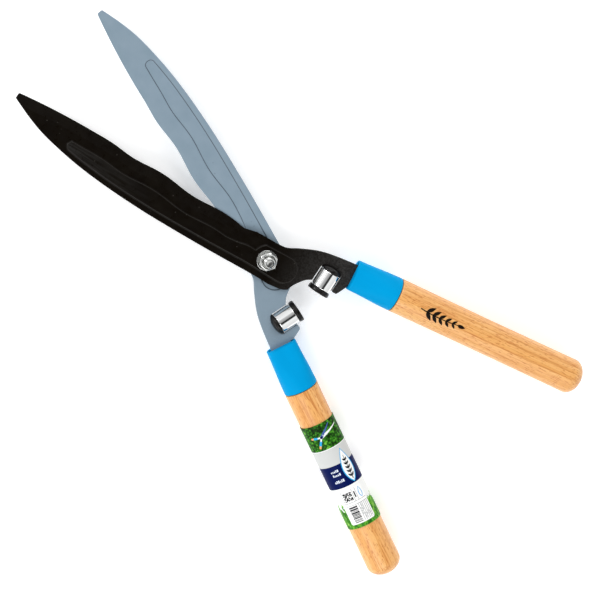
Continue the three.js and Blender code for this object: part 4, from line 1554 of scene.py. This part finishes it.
@dataclass(frozen=True)
class Pivot:
    """Bolt, washers, spacer and lock nut on the Z axis; they ride on the rear half."""

    body: str = "rear_half"
    slot: str = "pivot_steel"
    shank: float = 4.0  # radius
    across: float = 13.0  # hexagon across its flats
    pitch: float = 1.25  # M8 coarse thread
    thread_depth: float = 0.6
    collar_height: float = 2.0
    collar_radius: float = 5.9
    washer_radius: float = 8.0
    spacer_width: float = 3.1
    bore: float = 4.3  # radius of the holes round the shank
    insert_wall: float = 0.85

    @staticmethod
    def level(node: str, top: bool) -> float:
        """Lowest or highest level of a CAD node, in millimetres."""
        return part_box(node)[1 if top else 0][2] / MM

    def hexagon(self, turn: float) -> float:
        """Distance from the axis to a side of the hexagon at an angle."""
        sixth = math.pi / 3
        return self.across / 2 / math.cos((turn + sixth / 2) % sixth - sixth / 2)

    def rings(self, profile: Sequence[tuple[Any, float]]) -> list[list[Vector]]:
        """Rings about Z.

        Args:
            profile: For each ring a radius, or a function from angle to radius, and a level.

        Returns:
            The rings' points.
        """
        made = []
        for radius, z in profile:
            ring = []
            for i in range(SMALL):
                turn = 2 * math.pi * i / SMALL
                r = radius(turn) if callable(radius) else radius
                ring.append(Vector((r * math.cos(turn), r * math.sin(turn), z)))
            made.append(ring)
        return made

    def hex_block(self, low: float, high: float) -> list[tuple[Any, float]]:
        """Profile of a hexagon whose two ends are chamfered by 30 degrees from its flats."""
        slope = math.tan(math.radians(30))
        face = self.across / 2 - 0.25

        def limited(from_end: float) -> Callable[[float], float]:
            """Radius at a distance from the end, as a function of the angle."""
            return lambda turn: min(self.hexagon(turn), face + from_end / slope)

        depths = [0, 0.1, 0.2, 0.3, 0.42, 0.55, 0.7, 0.9]
        profile = [(limited(d), low + d) for d in depths]
        return profile + [(limited(d), high - d) for d in reversed(depths)]

    def thread(self, low: float, high: float, chamfer: float) -> list[tuple[Any, float]]:
        """Profile of a helical thread that ends in a chamfer."""

        def at(z: float) -> Callable[[float], float]:
            """Radius at a level, as a function of the angle."""

            def radius(turn: float) -> float:
                """The shank less the thread's cut, and less the chamfer at the end."""
                share = (z / self.pitch - turn / (2 * math.pi)) % 1
                valley = max(0.0, 1 - abs(2 * share - 1) * 1.25)
                cut = self.thread_depth * min(1.0, valley * 1.25) * float(smoothstep(z, low, low + 1))
                return min(self.shank - 0.03 - cut, self.shank - 0.2 - chamfer + (high - z) * 1.1)

            return radius

        steps = int((high - low) / 0.08)
        heights = [low + (high - low) * i / steps for i in range(steps + 1)]
        return [(at(z), z) for z in heights]

    def bolt(self) -> None:
        """Hexagon-head bolt, threaded where it stands out of the nut."""
        head_top, end = self.level("rear_washer", False), self.level("pivot_bolt", True)
        profile = [(0.5, 0.0), (self.across / 2 - 0.7, 0.0)] + self.hex_block(0, head_top)
        profile += [(self.shank + 0.4, head_top), (self.shank, head_top + 0.05)]
        thread_from = self.level("pivot_nut", False) - 1
        profile += [(self.shank, thread_from - 0.5)] + self.thread(thread_from, end, 0.6)
        profile += [(2.2, end - 0.02), (1.9, end - 0.12), (0.4, end - 0.14)]
        piece = Piece("pivot_bolt_fine", self.body, self.slot, "pivot_bolt")
        piece.build(loft(self.rings(profile)), [ZINC], Matrix())

    def nut(self) -> None:
        """Lock nut: chamfered hexagon and a crimped collar."""
        low, top = self.level("pivot_nut", False), self.level("pivot_nut", True)
        hex_top = top - self.collar_height
        profile = self.hex_block(low, hex_top)
        collar = [
            (self.collar_radius + 0.3, hex_top),
            (self.collar_radius, hex_top + 0.3),
            (self.collar_radius, top),
            (self.bore + 0.5, top),
            (self.bore, top - 0.4),
            (self.bore, low),
        ]
        profile += rounded(collar, 0.75, 5)
        piece = Piece("pivot_nut_fine", self.body, self.slot, "pivot_nut")
        piece.build(loft(self.rings(profile), joined=True), [ZINC], Matrix())

    def ring(self, node: str, inner: float, outer: float, finish: Finish, edge: float = 0.3) -> None:
        """Washer or ring between a CAD node's levels."""
        low, high = self.level(node, False), self.level(node, True)
        corners = [(inner, low), (outer, low), (outer, high), (inner, high)]
        slot = "insert_nylon" if finish is NYLON else self.slot
        mesh = loft(self.rings(rounded(corners, edge, 4, closed=True)), joined=True)
        even_faces(Piece(f"{node}_fine", self.body, slot, node).build(mesh, [finish], Matrix()))

    def build(self) -> None:
        """Makes the six pieces of the pivot."""
        self.bolt()
        self.nut()
        for node in ("rear_washer", "front_washer"):
            self.ring(node, self.bore, self.washer_radius, ZINC)
        thin_edge = 0.15
        self.ring("pivot_spacer", self.bore, self.bore + self.spacer_width, ZINC, thin_edge)
        grip = self.bore - thin_edge
        self.ring("nut_insert", grip, grip + self.insert_wall, NYLON, thin_edge)


# ---- Studio -------------------------------------------------------------------------------------


@dataclass(frozen=True)
class Softbox:
    """Square soft light that looks at the pivot."""

    name: str
    place: Point3  # metres
    size: float  # metres
    power: float  # watts

    def build(self) -> None:
        """Makes the light."""
        light = bpy.data.lights.new(self.name, "AREA")
        light.shape, light.size, light.energy = "SQUARE", self.size, self.power
        thing = bpy.data.objects.new(self.name, light)
        bpy.context.scene.collection.objects.link(thing)
        thing.location = self.place
        thing.rotation_mode = "QUATERNION"
        thing.rotation_quaternion = (-Vector(self.place)).to_track_quat("-Z", "Y")


@dataclass(frozen=True)
class Studio:
    """Pale floor, soft lights and the camera, high over the tool, which points up and left."""

    tilt: float = math.radians(16)  # camera's lean from straight above, towards the blade tips
    roll: float = math.radians(45.2)
    distance: float = 16.0  # from the tool to the camera, metres
    span: float = 0.4596  # width of the view at the tool, metres
    centre_right: float = 25.278 * MM  # middle of the view from the pivot, to its right
    centre_down: float = 30.1804 * MM
    pivot_level: float = 16.5 * MM  # level that the view is centred on

    def floor(self) -> None:
        """Floor under the lowest point."""
        low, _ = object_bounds()
        half = 12.0
        data = bpy.data.meshes.new("floor")
        corners = [(-half, -half, 0), (half, -half, 0), (half, half, 0), (-half, half, 0)]
        data.from_pydata(corners, [], [(0, 1, 2, 3)])
        data.materials.append(PaleFloor("pale_floor").material())
        thing = bpy.data.objects.new("floor", data)
        bpy.context.scene.collection.objects.link(thing)
        thing.location = (0, 0, low[2] - 0.0002)
        thing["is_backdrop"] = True

    def sky(self) -> None:
        """Soft white room with one dark slot along X overhead, just behind the camera's side."""
        world = bpy.data.worlds.new("room")
        bpy.context.scene.world = world
        world.use_nodes = True
        tree = world.node_tree
        toward = add_node(tree, "SeparateXYZ", {0: add_node(tree, "TexCoord").outputs["Generated"]}).outputs
        lean = add_node(tree, "Math", {0: toward["Y"], 1: toward["Z"]}, operation="ARCTAN2")
        # Degrees from straight above, towards +Y, as a share of the way from -90 to 90.
        share = add_node(tree, "MapRange", {"Value": lean, **between(-math.pi / 2, math.pi / 2)})
        tones = ((-90, "#E8E8E8"), (-31, "#FFFFFF"), (-26, "#F0F0F0"), (-23, "#303030"), (-5, "#303030"))
        tones += ((0, "#A0A0A0"), (22, "#C8C8C8"), (32, "#FFFFFF"), (90, "#E8E8E8"))
        stops = [((angle + 90) / 180, tone) for angle, tone in tones]
        colour = add_node(tree, "ValToRGB", {0: share}, stops)
        set_inputs(tree, tree.nodes["Background"], {"Color": colour, "Strength": 1.0})

    def camera(self) -> None:
        """Long-lens camera at the viewing angle."""
        back = Vector((0, math.sin(self.tilt), math.cos(self.tilt)))
        plain_right, plain_up = Vector((1, 0, 0)), Vector((0, math.cos(self.tilt), -math.sin(self.tilt)))
        c, s = math.cos(self.roll), math.sin(self.roll)
        right = plain_right * c - plain_up * s
        up = plain_right * s + plain_up * c
        target = Vector((0, 0, self.pivot_level)) + right * self.centre_right - up * self.centre_down
        data = bpy.data.cameras.new("camera")
        data.sensor_width = 36.0
        data.lens = data.sensor_width * self.distance / self.span
        data.clip_start, data.clip_end = 1.0, 40.0
        thing = bpy.data.objects.new("camera", data)
        bpy.context.scene.collection.objects.link(thing)
        turn = Matrix((right, up, back)).transposed().to_4x4()
        thing.matrix_world = Matrix.Translation(target + back * self.distance) @ turn
        bpy.context.scene.camera = thing

    def build(self) -> None:
        """Sets up floor, light and camera."""
        self.floor()
        self.sky()
        Softbox("key", (-1.6, -0.6, 1.7), 1.5, 24).build()
        Softbox("fill", (1.5, 0.9, 1.6), 1.6, 17).build()
        Softbox("rim", (-0.35, 1.66, 1.06), 0.4, 6).build()
        self.camera()
        scene = bpy.context.scene
        scene.view_settings.view_transform = "Standard"
        scene.view_settings.look = "None"


def main() -> None:
    """Builds the two halves, the print, the pivot and the studio."""
    logging.basicConfig(level=logging.INFO, format="%(name)s: %(message)s")
    front, rear = Half("front", False), Half("rear", True)
    Stamping(front, 105.0, BLACK_COAT, "front_blade_coating").build()
    Stamping(rear, 142.0, GREY_COAT, "rear_blade_coating").build()
    for half, beech in ((front, FRONT_BEECH), (rear, REAR_BEECH)):
        Bumper(half).build()
        Handle(half, beech).build()
    WoodStamp(front).build()
    Label(rear).build()
    Pivot().build()
    Studio().build()


if __name__ == "__main__":
    main()
